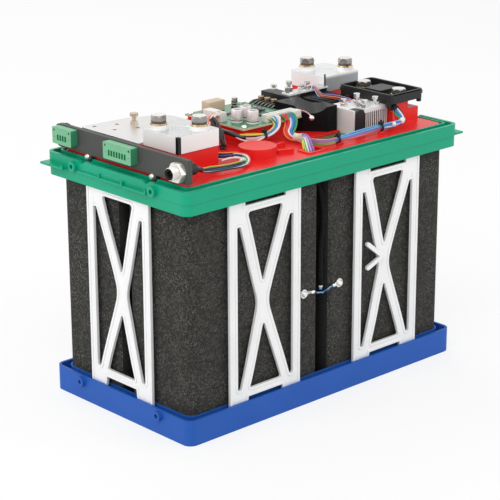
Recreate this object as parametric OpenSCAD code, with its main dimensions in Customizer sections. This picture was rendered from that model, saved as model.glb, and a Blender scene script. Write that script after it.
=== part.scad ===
// Lithium-ion battery with its cover taken off.
// Four cells in foam jackets stand between a base tray and a top rim, six crossed frames tie the
// two together, and the power and control parts sit on a moulded deck inside the rim.

/* [Case] */
// Length of the tray along the long side
case_l = 360; // [355:1:380]
// Width of the tray across the short side
case_w = 201; // [197:1:210]
// Height of the tray's outer wall
tray_h = 25; // [22:0.5:30]
// Thickness of the tray's outer wall
tray_wall = 2.5; // [2:0.1:3]
// Thickness of the tray's floor
floor_t = 3; // [2:0.5:4]
// Radius of the upright corners of the tray and rim
corner_r = 9; // [8:0.5:12]
// Height of the rim's lower edge above the ground
rim_z = 220; // [217:1:240]
// Height of the rim's outer wall
rim_h = 22.5; // [21:0.5:28]
// How far the rim's outer face stands outside the tray's
rim_overhang = 1; // [0.6:0.1:1.4]
// Depth of the gasket groove in the rim's top
groove_depth = 4; // [3:0.5:5]
// Height of the ridge inside the gasket groove above the rim's outer wall
ridge_rise = 1; // [0:0.5:1.5]
// Reach of the flange plates past the rim's short sides
flange_reach = 7.5; // [6:0.5:9]
// Thickness of the flange plates
flange_t = 2; // [1.6:0.1:2.5]
// Spacing of the two case screws on a short side
boss_pitch = 114.6; // [110:0.2:118]
// Outside diameter of a case screw boss
boss_d = 10; // [9:0.5:12]
// Bore of a case screw boss
boss_bore = 4.2; // [3:0.1:5]

/* [Crossed frames] */
// Width of a crossed frame
frame_w = 90; // [86:1:92]
// Thickness of a crossed frame
frame_t = 3; // [2.5:0.1:3.4]
// How far the crossing of the straps bows in towards the foam
frame_bow = 3.5; // [2:0.1:4]
// Width of a frame's upright side bar
bar_w = 9.5; // [8:0.5:11]
// Distance of the long side's frames from the middle of the case
frame_offset = 82; // [78:0.5:86]
// Height of the seats that the long side's frames stand on
frame_seat_z = 8; // [6:0.5:10]
// How much higher the frames of the short sides stand
end_frame_lift = 5; // [3:0.5:7]
// Width of the raised edge round the frame's openings
edge_rib_w = 2.6; // [2:0.1:3]
// How far the web of a frame lies below its raised edges
web_recess = 0.6; // [0.4:0.1:1]

/* [Cells] */
// Gap between neighbouring foam jackets
jacket_gap = 8; // [6:0.5:12]
// Radius of a foam jacket's upright corners
jacket_r = 10; // [6:1:14]
// Height of a foam jacket
jacket_h = 219; // [214:1:222]
// Length of a cell
cell_l = 138; // [120:1:142]
// Width of a cell
cell_w = 62; // [56:1:66]
// Height of a cell's can
cell_h = 202; // [190:1:204]
// Thickness of the links between the cells
link_t = 2.5; // [2:0.5:4]

/* [Deck] */
// Wall thickness of the moulded deck
deck_t = 2.5; // [2:0.1:3]
// Height of the deck's flat surface above the rim's outer wall
deck_rise = 0.5; // [0.5:0.5:2]
// Height of the raised seats of the terminal blocks above the deck
plateau_h = 19; // [17:0.5:21]
// Height of the round boss in the front of the deck
round_boss_h = 10; // [6:0.5:14]
// Diameter of the round boss in the front of the deck
round_boss_d = 36; // [30:1:38]
// Height of the control board's seat above the deck
board_seat_h = 15.4; // [13:0.2:16]
// Height of the main fuse's seat above the deck
fuse_seat_h = 22.5; // [20:0.5:24]

/* [Terminals] */
// Length of a terminal block along the long side
block_l = 50; // [46:1:51]
// Width of a terminal block
block_w = 50; // [48:1:51]
// Height of a terminal block
block_h = 16; // [14:0.5:20]
// Diameter of the raised pad under a terminal bolt
pad_d = 18; // [17:0.5:20]
// Height of the raised pad under a terminal bolt
pad_h = 4; // [3:0.5:5]
// Thread diameter of the terminal bolts
bolt_d = 8; // [6:0.5:8.5]
// Width across the flats of the terminal bolts
bolt_af = 13; // [12:0.5:14]
// Height of a terminal bolt's head
bolt_head_h = 5.5; // [4:0.5:6]
// Diameter of a flat washer
washer_d = 16; // [15:0.5:17]
// Thickness of a flat washer
washer_t = 1.6; // [1.2:0.1:2]
// Diameter of a spring washer
spring_d = 14; // [13:0.5:14.5]
// Thickness of a spring washer
spring_t = 2; // [1.6:0.1:2.4]

/* [Connector panel] */
// Height of the connector panel
panel_h = 22; // [21:0.5:24]
// Thickness of the connector panel
panel_t = 5; // [4:0.5:6]
// Length of the connector panel
panel_l = 190; // [186:1:191]
// Pitch of the contacts in the pluggable headers
contact_pitch = 3.81; // [3.5:0.01:3.9]
// Height of a pluggable header
header_h = 16; // [15:0.5:17]
// How far a pluggable header stands proud of the panel
header_proud = 8; // [6:0.5:10]
// Thread diameter of the round bus connector
bus_d = 12; // [11:0.5:13]
// Width across the flats of the bus connector's nut
bus_nut_af = 17; // [16:0.5:18]

/* [Power parts] */
// Length of the heat sink
sink_l = 48; // [45:0.5:48.5]
// Width of the heat sink
sink_w = 36; // [32:0.5:37]
// Height of the heat sink
sink_h = 24.5; // [23:0.5:24.5]
// Pitch of the heat sink's fins
fin_pitch = 2.7; // [2.4:0.1:3.2]
// Thickness of a fin
fin_t = 1.2; // [0.9:0.1:1.4]
// Length of the main fuse holder along the long side
holder_l = 48; // [46:0.5:50]
// Width of the main fuse holder
holder_w = 71; // [69:0.5:73]
// Height of the main fuse holder
holder_h = 9.5; // [8:0.5:11]
// Wall thickness of the main fuse holder
holder_wall = 2.4; // [2:0.1:3]
// Height of the contactor
contactor_h = 25; // [22:0.5:27]

/* [Control parts] */
// Length of the control board
board_l = 77; // [74:1:77]
// Width of the control board
board_w = 85; // [80:1:86]
// Thickness of the circuit boards
board_t = 1.6; // [1.2:0.1:2]
// Diameter of the electrolytic capacitors
cap_d = 12; // [10:0.5:12.5]
// Height of the electrolytic capacitors
cap_h = 12.5; // [10:0.5:14]

/* [Hidden] */

$fn = 48;
fit = 0.3;
eps = 0.05;
lap = 1;

// Heights. Cells that are too tall for their jackets lift the jackets and the rim
pocket_floor = 10;
cell_z = floor_t + pocket_floor;
cell_top = cell_z + cell_h;
post_least = 2;
cell_rise = max(0, cell_top + post_least - floor_t - jacket_h);
jacket_top = floor_t + jacket_h + cell_rise;
rim_base = rim_z + cell_rise;
rim_top = rim_base + rim_h;
web_t = 2;
web_top = rim_top - groove_depth;
web_z = web_top - web_t;
deck_z = rim_top + deck_rise;
plateau_z = deck_z + plateau_h;
block_top = plateau_z + block_h;
pad_top = block_top + pad_h;
board_z = deck_z + board_seat_h;
board_top = board_z + board_t;
fuse_seat_z = deck_z + fuse_seat_h;

// Inner faces of the outer walls, which tray and rim share
in_x = case_l / 2 - tray_wall;
in_y = case_w / 2 - tray_wall;
rim_x = case_l / 2 + rim_overhang;
rim_y = case_w / 2 + rim_overhang;
foam_x = in_x - frame_t - frame_bow - fit;
foam_y = in_y - frame_t - frame_bow - fit;

// Tray
lining_t = 1.5;
rib_t = 1.4;
rib_pitch = 15;
rib_drop = 2.5;
tray_boss_z = 19;
tray_boss_out = 4;

// Rim
rim_wall = tray_wall + rim_overhang;
rim_step = 0.6;
step_z = rim_base + 10.5;
ridge_gap_x = 6;
ridge_gap_y = 4.5;
ridge_t = 2;
ridge_x = in_x - ridge_gap_x;
ridge_y = in_y - ridge_gap_y;
web_in = 8;
flange_z = rim_base + 11;
flange_in = 40;
ear_y = case_w / 2;
shelf_reach = 2;
shelf_hook = 3;
rim_boss_z = rim_top - 7;
rim_boss_out = 4;
screw_y = 46.5;
notch_r = 5.2;
notch_rise = 2.7;

// Crossed frame, in its own plane: u to the right, v up from its feet
frame_h = web_z - frame_seat_z - end_frame_lift;
foot_notch_h = 20.5;
lower_bar_top = 28.5;
upper_bar_h = 6.5;
head_notch_h = 16;
foot_notch_half = 22;
foot_notch_flare = 2.5;
head_notch_half = 25.5;
v_half = 22.5;
a_half = 20.5;
v_drop = 74.5;
a_rise = 62.5;
side_half = 31;
side_foot = 29;
side_head = 35;
hub_half = 6;
hub_v = (lower_bar_top + a_rise + frame_h - head_notch_h - upper_bar_h - v_drop) / 2;
open_r = 3;
apex_r = 1.6;
side_r = 1.8;
foot_in = frame_w / 2 - 24.5;

// Jackets and cells
jacket_l = foam_x - jacket_gap / 2;
jacket_w = foam_y - jacket_gap / 2;
jacket_x = foam_x - jacket_l / 2;
jacket_y = foam_y - jacket_w / 2;
post_d = 14;
post_h = jacket_top + fit - cell_top;
post_gap = 74;
link_w = 20;
sensor_x = 24;
sensor_mid = -2.3;
sensor_z = 109.5;
sensor_hole_d = 2.8;

// Deck
deck_gap = 1.8;
deck_x = ridge_x - ridge_t - deck_gap;
deck_y = ridge_y - ridge_t - deck_gap;
deck_r = 6;
lip_h = 7;
lip_x = deck_x;
plate_gap = 15;
block_a_x = -case_l / 2 + 56.5;
block_a_y = -29;
block_b_x = case_l / 2 - 34.5;
block_b_y = 53;
seat_step = 1;
round_boss_x = -50.5;
round_boss_y = -53.5;
pocket_x = -10;
pocket_y = -82;
pocket_l = 18;
pocket_w = 10;
anchor_x = [34, 92];
anchor_y = -78;
anchor_w = 7;
anchor_rise = 1.3;
cutout_x = 26;
cutout_y = -70;
cutout_w = 30;

// Mounting plate
plate_t = 2;
plate_x = block_a_x - block_l / 2 - 5;
plate_l = 92;
plate_y = block_a_y + block_w / 2 + fit;
plate_w = 86;
plate_r = 16;

// Panel and its connectors
panel_x = lip_x;
panel_z = deck_z + 4;
panel_y = panel_l / 2;
tab_d = 9;
tab_z = rim_top + notch_rise;
gusset_l = 30;
gusset_y = panel_y - 4;
lip_end = min(deck_y - deck_r, gusset_y - fit);
header_z = panel_z + 13;
header_a_y = panel_y - 19;
header_b_y = panel_y - 101;
bus_y = 11 - panel_y;
bus_z = panel_z + 10;
bus_out = 13;
bus_back = 12;
bus_nut_t = 6;
bus_neck_d = bus_d - 0.8;
bus_thread_l = bus_out - bus_nut_t - 0.5;

// Terminal bolts
bolt_len = 22;
bolt_inset = 12;
bolt_edge = 9.6;
bolt_far_a = 16;
bolt_far_b = 10.8;
fuse_head_h = 3.5;
strip_w = 3.5;

// Fuse holder
holder_x = case_l / 2 - 38;
holder_y = -30.5;
holder_z = fuse_seat_z;
holder_seat_x = holder_x - holder_l / 2 + 6;
fuse_bolt_pitch = 48;
fuse_tab_t = 2;

// Control board
board_x = -38;
board_y = -21;
seat_inset = 4;

// Heat sink on the power board
sink_x = 74.5;
sink_y = -57.5;
sink_z = deck_z - deck_t;
sink_wall = 2;
sink_top_t = 4.5;
sink_insert_l = 13;
sink_insert_w = 9;
sink_insert_out = 1;
power_board_z = sink_z - board_t;

// Contactor and relay bar
con_l = 33;
con_w = 54;
con_x = 40;
con_y = -36;
con_cut = 20;
con_skew = 24;
valley_r = 22;
valley_depth = 7;
valley_tilt = 6;
bar_x = 62;
bar_y = 20;
bar_l = 16;
bar_width = 41;
bar_top = deck_z + 25;
bar_thick = 9;

function unit(v) = v / norm(v);
function turn(a) = a > 180 ? a - 360 : a < -180 ? a + 360 : a;

// Arc that rounds the corner b between its neighbours a and c
function corner(a, b, c, r, n = 5) =
    let (u = unit(a - b), v = unit(c - b), half = acos(u * v) / 2,
         m = b + unit(u + v) * r / sin(half), s = b + u * r / tan(half) - m,
         e = b + v * r / tan(half) - m, a0 = atan2(s[1], s[0]),
         sweep = turn(atan2(e[1], e[0]) - a0))
    [for (i = [0:n]) m + r * [cos(a0 + sweep * i / n), sin(a0 + sweep * i / n)]];

// Closed outline with every corner rounded by its own radius
function rounded(p, r) =
    let (k = len(p))
    [for (i = [0:k - 1]) each corner(p[(i + k - 1) % k], p[i], p[(i + 1) % k], r[i])];

// Sideways direction carried along a route without twist
function carried(t, i) =
    let (prior = i == 0 ? [0.31, 0.52, 0.8] : carried(t, i - 1))
    unit(prior - (prior * t[i]) * t[i]);

module tube(route, d, sides = 8) {
    k = len(route);
    t = [for (i = [0:k - 1]) unit(route[min(i + 1, k - 1)] - route[max(i - 1, 0)])];
    rings = [for (i = [0:k - 1])
        let (n = carried(t, i), m = cross(t[i], n))
        for (j = [0:sides - 1])
            route[i] + d / 2 * (cos(360 * j / sides) * n + sin(360 * j / sides) * m)];
    walls = [for (i = [0:k - 2], j = [0:sides - 1])
        let (a = i * sides + j, b = i * sides + (j + 1) % sides)
        each [[a, b, b + sides], [a, b + sides, a + sides]]];
    foot = [[for (j = [sides - 1:-1:0]) j]];
    head = [[for (j = [0:sides - 1]) (k - 1) * sides + j]];
    polyhedron(rings, concat([for (f = walls) [f[2], f[1], f[0]]],
        [for (f = foot) [for (j = [sides - 1:-1:0]) f[j]]],
        [for (f = head) [for (j = [sides - 1:-1:0]) f[j]]]), convexity = 6);
}

module round_rect(l, w, r) {
    square([l - 2 * r, w], center = true);
    square([l, w - 2 * r], center = true);
    for (x = [-1, 1], y = [-1, 1]) translate([x * (l / 2 - r), y * (w / 2 - r)]) circle(r);
}

module wall_ring(x, y, r, t, h) {
    linear_extrude(h) difference() {
        round_rect(2 * x, 2 * y, r);
        round_rect(2 * (x - t), 2 * (y - t), r - t);
    }
}

module along_x(d, l) { rotate([0, 90, 0]) cylinder(d = d, h = l); }

module hexagon(af, h) { cylinder(d = af / cos(30), h = h, $fn = 6); }

module block(from, size) { translate(from) cube(size); }

// Base tray

// Footprints of a frame's two feet, as start and length along the wall
feet = [[-frame_w / 2, frame_w / 2 - foot_in], [foot_in, frame_w / 2 - foot_in]];

function clear_of_feet(s, centres) =
    len([for (c = centres, f = feet)
        if (s > c + f[0] - rib_t && s < c + f[0] + f[1] + rib_t) 1]) == 0;

module frame_seats(centres, wall, depth, h) {
    for (c = centres, f = feet) block([c + f[0], wall - depth, 0], [f[1], depth + eps, h]);
}

module side_ribs(centres, wall, depth, reach) {
    for (s = [-reach:rib_pitch:reach])
        if (clear_of_feet(s, centres))
            block([s - rib_t / 2, wall - depth, 0], [rib_t, depth + eps, tray_h - rib_drop]);
}

module base_tray() {
    channel_y = in_y - foam_y - fit - lining_t / 2;
    channel_x = in_x - foam_x - fit - lining_t / 2;
    color("royalblue") difference() {
        union() {
            linear_extrude(floor_t) round_rect(case_l, case_w, corner_r);
            wall_ring(case_l / 2, case_w / 2, corner_r, tray_wall, tray_h);
            wall_ring(foam_x + fit + lining_t, foam_y + fit + lining_t,
                jacket_r + fit + lining_t, lining_t, tray_h);
            for (a = [0, 180]) rotate(a) {
                frame_seats([-frame_offset, frame_offset], in_y, channel_y, frame_seat_z);
                side_ribs([-frame_offset, frame_offset], in_y, channel_y, 150);
            }
            for (a = [90, 270]) rotate(a) {
                frame_seats([0], in_x, channel_x, frame_seat_z + end_frame_lift);
                side_ribs([0], in_x, channel_x, 75);
            }
            for (x = [-1, 1], y = [-1, 1]) scale([x, 1, 1])
                translate([in_x, y * boss_pitch / 2, tray_boss_z])
                    along_x(boss_d, tray_wall + tray_boss_out);
        }
        for (x = [-1, 1], y = [-1, 1]) scale([x, 1, 1])
            translate([in_x - lap, y * boss_pitch / 2, tray_boss_z])
                along_x(boss_bore, tray_wall + tray_boss_out + 2 * lap);
    }
}

// Top rim

module flange_plates() {
    // Deep plate at one end of the short side, with its square ear
    block([rim_x - rim_wall, -ear_y, flange_z],
        [rim_wall + flange_reach, flange_in - 6, flange_t]);
    block([rim_x + flange_reach - flange_t, -ear_y + flange_in - 6 - flange_t, flange_z],
        [flange_t, flange_t, flange_t + shelf_hook]);
    // Three shallow shelves between the screw bosses, each with a hook at its end
    shelf_l = (boss_pitch - boss_d - 8) / 3;
    for (i = [0:2]) {
        y = -boss_pitch / 2 + boss_d / 2 + 2 + i * (shelf_l + 2);
        reach = shelf_reach + i;
        block([rim_x - rim_wall, y, flange_z], [rim_wall + reach, shelf_l, flange_t]);
        block([rim_x - rim_wall, y + shelf_l - flange_t, flange_z],
            [rim_wall + reach, flange_t, flange_t + shelf_hook]);
    }
}

module top_rim() {
    color("mediumseagreen") difference() {
        union() {
            translate([0, 0, rim_base])
                wall_ring(rim_x - rim_step, rim_y - rim_step, corner_r - rim_step,
                    rim_wall - rim_step, rim_h);
            translate([0, 0, step_z])
                wall_ring(rim_x, rim_y, corner_r, rim_wall, rim_top - step_z);
            translate([0, 0, web_z]) linear_extrude(web_t) difference() {
                round_rect(2 * rim_x - rim_wall, 2 * rim_y - rim_wall, corner_r - 1);
                round_rect(2 * (ridge_x - web_in), 2 * (ridge_y - web_in), corner_r);
            }
            translate([0, 0, web_z])
                wall_ring(ridge_x, ridge_y, corner_r - 4, ridge_t, rim_top + ridge_rise - web_z);
            for (a = [0, 180]) rotate(a) {
                flange_plates();
                for (y = [-1, 1]) translate([in_x, y * boss_pitch / 2, rim_boss_z])
                    along_x(boss_d, rim_x - in_x + rim_boss_out);
            }
        }
        for (a = [0, 180]) rotate(a) for (y = [-1, 1]) {
            translate([in_x - lap, y * boss_pitch / 2, rim_boss_z])
                along_x(boss_bore, rim_x - in_x + rim_boss_out + 2 * lap);
            translate([ridge_x - ridge_t - lap, y * screw_y, rim_top + notch_rise])
                along_x(2 * notch_r, rim_x - ridge_x + ridge_t + 2 * lap);
        }
    }
}

// Crossed frames

v_top = frame_h - head_notch_h - upper_bar_h;
side_in = frame_w / 2 - bar_w;

module frame_openings() {
    polygon(rounded([[-v_half, v_top], [0, v_top - v_drop], [v_half, v_top]],
        [open_r, apex_r, open_r]));
    polygon(rounded([[-a_half, lower_bar_top], [a_half, lower_bar_top],
        [0, lower_bar_top + a_rise]], [open_r / 2, open_r / 2, apex_r]));
    for (s = [-1, 1]) scale([s, 1])
        polygon(rounded([[side_in, side_foot], [side_in, frame_h - side_head],
            [side_half, frame_h - side_head], [hub_half, hub_v], [side_half, side_foot]],
            [side_r, side_r, side_r, 30, side_r]));
}

module frame_outline() {
    difference() {
        translate([-frame_w / 2, 0]) square([frame_w, frame_h]);
        translate([-head_notch_half, frame_h - head_notch_h])
            square([2 * head_notch_half, head_notch_h + lap]);
        polygon([[-foot_notch_half, foot_notch_h], [foot_notch_half, foot_notch_h],
            [foot_notch_half + foot_notch_flare, -lap],
            [-foot_notch_half - foot_notch_flare, -lap]]);
        frame_openings();
    }
}

// Depth of the bowed straps below the frame's face at height v
function bow(v) =
    let (a = (v - lower_bar_top) / (v_top - lower_bar_top)) frame_bow * pow(sin(180 * a), 2);

module bowed_slab(t) {
    steps = 12;
    levels = [for (i = [0:steps]) lower_bar_top + (v_top - lower_bar_top) * i / steps];
    rotate([90, 0, 90]) translate([0, 0, -side_in]) linear_extrude(2 * side_in)
        polygon(concat([for (v = levels) [bow(v), v]],
            [for (i = [steps:-1:0]) [bow(levels[i]) + t, levels[i]]]));
}

// Depth runs along +Y here: the face is at y = 0 and the back at y = frame_t
module frame_slabs(t) {
    difference() {
        block([-frame_w / 2, 0, 0], [frame_w, t, frame_h]);
        block([-side_in, -lap, lower_bar_top],
            [2 * side_in, frame_t + frame_bow + 2 * lap, v_top - lower_bar_top]);
    }
    bowed_slab(t);
}

module crossed_frame() {
    difference() {
        intersection() {
            rotate([90, 0, 0]) translate([0, 0, -frame_t - frame_bow - lap])
                linear_extrude(frame_t + frame_bow + 2 * lap) frame_outline();
            frame_slabs(frame_t);
        }
        translate([0, -eps, 0]) intersection() {
            rotate([90, 0, 0]) translate([0, 0, -frame_t - frame_bow - lap])
                linear_extrude(frame_t + frame_bow + 2 * lap)
                    offset(delta = -edge_rib_w) frame_outline();
            frame_slabs(web_recess + eps);
        }
    }
}

// Arrow-shaped raised mark beside the crossing of the front right frame
arrow_tip = [-5, 117.5];
arrow_ends = [[-26, 134], [-25.5, 109.5]];
arrow_w = 4.4;
arrow_t = 3;

module arrow_mark() {
    rotate([90, 0, 0]) translate([0, 0, -arrow_t]) linear_extrude(arrow_t) {
        for (end = arrow_ends) {
            side = unit([end[1] - arrow_tip[1], arrow_tip[0] - end[0]]) * arrow_w / 2;
            polygon([arrow_tip + side, arrow_tip - side, end - side, end + side]);
            translate(end) circle(d = arrow_w);
        }
        translate(arrow_tip) circle(d = arrow_w);
    }
}

module frame_on_side(x, front) {
    rotate(front ? 0 : 180) translate([front ? x : -x, -in_y, frame_seat_z]) crossed_frame();
}

module side_frame_front_left() {
    color("gainsboro") frame_on_side(-frame_offset, true);
}

module side_frame_front_right() {
    color("gainsboro") {
        frame_on_side(frame_offset, true);
        translate([frame_offset, -in_y, frame_seat_z]) arrow_mark();
    }
}

module side_frame_back_left() {
    color("gainsboro") frame_on_side(-frame_offset, false);
}

module side_frame_back_right() {
    color("gainsboro") frame_on_side(frame_offset, false);
}

module end_frame(angle) {
    color("gainsboro") rotate(angle)
        translate([0, -in_x, frame_seat_z + end_frame_lift]) crossed_frame();
}

module end_frame_left() { end_frame(-90); }

module end_frame_right() { end_frame(90); }

// Foam jackets and cells

module foam_jacket(sx, sy) {
    color("dimgray") translate([sx * jacket_x, sy * jacket_y, floor_t]) difference() {
        linear_extrude(jacket_top - floor_t) round_rect(jacket_l, jacket_w, jacket_r);
        block([-cell_l / 2 - fit, -cell_w / 2 - fit, pocket_floor],
            [cell_l + 2 * fit, cell_w + 2 * fit, jacket_top]);
        if (sy < 0)
            translate([sx * (sensor_x - jacket_x) + sensor_mid, -jacket_w / 2 - lap,
                sensor_z - floor_t])
                rotate([-90, 0, 0]) cylinder(d = sensor_hole_d, h = 8 + lap);
    }
}

module foam_jacket_front_left() { foam_jacket(-1, -1); }

module foam_jacket_front_right() { foam_jacket(1, -1); }

module foam_jacket_back_left() { foam_jacket(-1, 1); }

module foam_jacket_back_right() { foam_jacket(1, 1); }

module cell(sx, sy) {
    color("lightsteelblue") translate([sx * jacket_x, sy * jacket_y, cell_z]) {
        linear_extrude(cell_h) round_rect(cell_l, cell_w, 3);
        for (x = [-1, 1]) translate([x * post_gap / 2, 0, 0]) cylinder(d = post_d, h = cell_h + post_h);
    }
}

module cell_front_left() { cell(-1, -1); }

module cell_front_right() { cell(1, -1); }

module cell_back_left() { cell(-1, 1); }

module cell_back_right() { cell(1, 1); }

link_z = cell_top + post_h;

module cell_link(from, to) {
    color("tan") translate([0, 0, link_z]) linear_extrude(link_t) union() {
        l = norm(to - from);
        translate(from) rotate(atan2(to[1] - from[1], to[0] - from[0])) {
            translate([0, -link_w / 2]) square([l, link_w]);
            circle(d = link_w);
            translate([l, 0]) circle(d = link_w);
        }
    }
}

post_near = jacket_x - post_gap / 2;
post_far = jacket_x + post_gap / 2;

module cell_link_left() { cell_link([-post_far, -jacket_y], [-post_far, jacket_y]); }

module cell_link_right() { cell_link([post_far, -jacket_y], [post_far, jacket_y]); }

module cell_link_back() { cell_link([-post_near, jacket_y], [post_near, jacket_y]); }

// Deck

block_a = [block_a_x - block_l / 2, block_a_y - block_w / 2];
block_b = [block_b_x - block_l / 2, block_b_y - block_w / 2];

// Raised seats as start corner, size and top
seats = [
    [block_a + [seat_step, seat_step], [block_l - 2 * seat_step, block_w - 2 * seat_step],
        plateau_z],
    [[plate_x + 4, plate_y - lap], [plate_l - 12, plate_w - 12], plateau_z],
    [block_b + [seat_step, seat_step],
        [min(block_l - 2 * seat_step, deck_x - fit - block_b[0] - seat_step),
        block_w - 2 * seat_step], plateau_z],
    [[board_x + seat_inset, board_y + seat_inset],
        [board_l - 2 * seat_inset, board_w - 2 * seat_inset], board_z],
    [[holder_seat_x, holder_y - holder_w / 2 + 3], [holder_l - 10, holder_w - 10],
        deck_z + fuse_seat_h * 0.62],
    [[holder_seat_x, holder_y - holder_w / 2 + 4], [holder_l - 24, holder_w - 12], fuse_seat_z]
];

module cable_anchor() {
    for (x = [-1, 1]) translate([x * anchor_w / 2, 0, -lap])
        cylinder(d = 3, h = lap + anchor_rise);
    translate([0, 0, anchor_rise]) rotate([0, 90, 0])
        cylinder(d = 3, h = anchor_w, center = true);
}

module deck() {
    screws = [for (y = [-1, 1]) y * screw_y];
    color("crimson") difference() {
        union() {
            translate([0, 0, deck_z - deck_t]) linear_extrude(deck_t)
                round_rect(2 * deck_x, 2 * deck_y, deck_r);
            translate([0, 0, web_top])
                wall_ring(deck_x, deck_y, deck_r, deck_t, deck_z - web_top);
            for (s = seats)
                block([s[0][0], s[0][1], web_top], [s[1][0], s[1][1], s[2] - web_top]);
            translate([round_boss_x, round_boss_y, deck_z - deck_t])
                cylinder(d = round_boss_d, h = round_boss_h + deck_t);
            // Lip that carries the connector panel
            block([-lip_x, bus_y + bus_d, deck_z - deck_t],
                [deck_t, lip_end - bus_y - bus_d, deck_t + lip_h]);
            for (s = board_screws) translate([s[0], s[1], deck_z - eps])
                cylinder(d = 6, h = board_z - deck_z + eps);
            // Ribs beside the round boss
            translate([round_boss_x + round_boss_d / 2 - lap, round_boss_y - 10, deck_z - eps])
                rotate(-22) cube([16, 3, 4]);
            translate([round_boss_x + round_boss_d / 2 - lap, round_boss_y + 2, deck_z - eps])
                rotate(8) cube([24, 3, 5]);
            // Collar of the wiring pocket
            block([pocket_x - 3, pocket_y - 2.5, deck_z - eps], [pocket_l + 6, pocket_w + 6, 1.5]);
            for (x = anchor_x) translate([x, anchor_y, deck_z]) cable_anchor();
        }
        for (s = seats) if (s[2] > deck_z)
            block([s[0][0] + deck_t, s[0][1] + deck_t, web_top - lap],
                [s[1][0] - 2 * deck_t, s[1][1] - 2 * deck_t, s[2] - deck_t - web_top + lap]);
        translate([round_boss_x, round_boss_y, web_top - lap])
            cylinder(d = round_boss_d - 2 * deck_t, h = deck_z + round_boss_h - deck_t - web_top + lap);
        block([pocket_x, pocket_y, web_top - lap], [pocket_l, pocket_w, 40]);
        block([cutout_x, cutout_y, web_top - lap], [holder_seat_x - cutout_x - 1, cutout_w, 12]);
        block([sink_x - 1, cutout_y, web_top - lap],
            [sink_l + 2, sink_y + sink_w - cutout_y + 1, 12]);
        for (y = screws) translate([-lip_x - lap, y, tab_z]) along_x(sensor_hole_d, 12);
        for (s = board_screws) translate([s[0], s[1], board_z - 5.2])
            cylinder(d = sensor_hole_d, h = 5.2 + lap);
    }
}

// Connector panel

module header_window(y, n) {
    w = (n - 1) * contact_pitch + 10;
    block([-panel_x - panel_t - lap, y - w / 2, header_z - header_h / 2 + 2],
        [panel_t + 2 * lap, w, header_h - 4]);
}

module connector_panel() {
    x0 = panel_x - panel_t;
    color("dimgray") difference() {
        union() {
            // Face with its far corners rounded
            translate([-panel_x - panel_t, 0, 0]) rotate([90, 0, 90]) linear_extrude(panel_t)
                polygon(rounded([[-panel_y, panel_z], [panel_y, panel_z],
                    [panel_y, panel_z + panel_h], [-panel_y, panel_z + panel_h]],
                    [0.6, 6, 5, 0.6]));
            for (y = [-1, 1]) translate([-panel_x - panel_t, y * screw_y, tab_z])
                along_x(tab_d, panel_t);
            // Sloped gusset that wraps back behind the far end
            translate([-panel_x - lap, gusset_y, panel_z]) rotate([90, 0, 0])
                translate([0, 0, -3]) linear_extrude(3)
                    polygon([[0, 0], [gusset_l, 0], [gusset_l, 4], [8, panel_h - 2],
                        [0, panel_h - 1]]);
        }
        header_window(header_a_y, 4);
        header_window(header_b_y, 7);
        translate([-panel_x - panel_t - lap, bus_y, bus_z]) along_x(bus_d, panel_t + 2 * lap);
        for (y = [-1, 1]) translate([-panel_x - panel_t - lap, y * screw_y, tab_z])
            along_x(sensor_hole_d, panel_t + 2 * lap);
    }
}

module header(y, n) {
    w = (n - 1) * contact_pitch + 17;
    inner_w = (n - 1) * contact_pitch + 10;
    slot_w = contact_pitch * 0.5;
    face = -panel_x - panel_t - header_proud;
    difference() {
        union() {
            translate([face, y, header_z]) rotate([90, 0, 90]) linear_extrude(header_proud)
                round_rect(w, header_h, 1.2);
            block([face + header_proud - eps, y - inner_w / 2, header_z - header_h / 2 + 2],
                [panel_t + 6, inner_w, header_h - 4]);
        }
        for (i = [0:n - 1])
            block([face - lap, y + (i - (n - 1) / 2) * contact_pitch - slot_w / 2, header_z - 4],
                [header_proud + lap, slot_w, 5]);
        for (s = [-1, 1]) {
            translate([face - lap, y + s * (w / 2 - 3), header_z + header_h / 2 - 3])
                along_x(2.2, 2 + lap);
            translate([face - lap, y + s * (w / 2 - 3.4), header_z - 1.5]) along_x(1, 2 + lap);
        }
    }
}

module header_4_pole() { color("lightgreen") header(header_a_y, 4); }

module header_7_pole() { color("lightgreen") header(header_b_y, 7); }

module bus_connector_body() {
    color("silver") translate([-panel_x - panel_t, bus_y, bus_z]) difference() {
        union() {
            translate([-bus_out, 0, 0]) along_x(bus_d, bus_thread_l);
            translate([-bus_out, 0, 0]) along_x(bus_neck_d, bus_out + panel_t + bus_back);
            translate([panel_t, 0, 0]) along_x(bus_d + 3, 3);
        }
        translate([-bus_out - lap, 0, 0]) along_x(bus_d - 2.6, bus_out - 2 + lap);
    }
}

module bus_connector_nut() {
    color("silver") translate([-panel_x - panel_t - bus_nut_t, bus_y, bus_z]) difference() {
        rotate([0, 90, 0]) rotate(30) hexagon(bus_nut_af, bus_nut_t);
        translate([-lap, 0, 0]) along_x(bus_neck_d, bus_nut_t + 2 * lap);
    }
}

module bus_connector_insert() {
    color("black") translate([-panel_x - panel_t - bus_out + 1, bus_y, bus_z]) difference() {
        along_x(bus_d - 2.6, bus_out - 3);
        translate([-lap, 0, 0]) along_x(bus_d - 4.6, 7);
    }
}

// Mounting plate beside the left block

plate_holes = [[10.5, 77.5], [31.5, 69.5], [16.5, 54.5], [37.5, 45.5]];
stud_place = [43.5, 58.5];

module mounting_plate() {
    color("silver") translate([plate_x, plate_y, plateau_z]) difference() {
        linear_extrude(plate_t) difference() {
            polygon(rounded([[0, 0], [plate_l, 0], [plate_l, plate_w - 22],
                [plate_l * 0.62, plate_w - 4], [0, plate_w]], [1, 3, plate_r, plate_r, 4]));
            for (h = plate_holes) translate(h) circle(d = 4.2);
        }
        translate([stud_place[0], stud_place[1], -lap]) cylinder(d = 4.2, h = plate_t + 2 * lap);
    }
}

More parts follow.
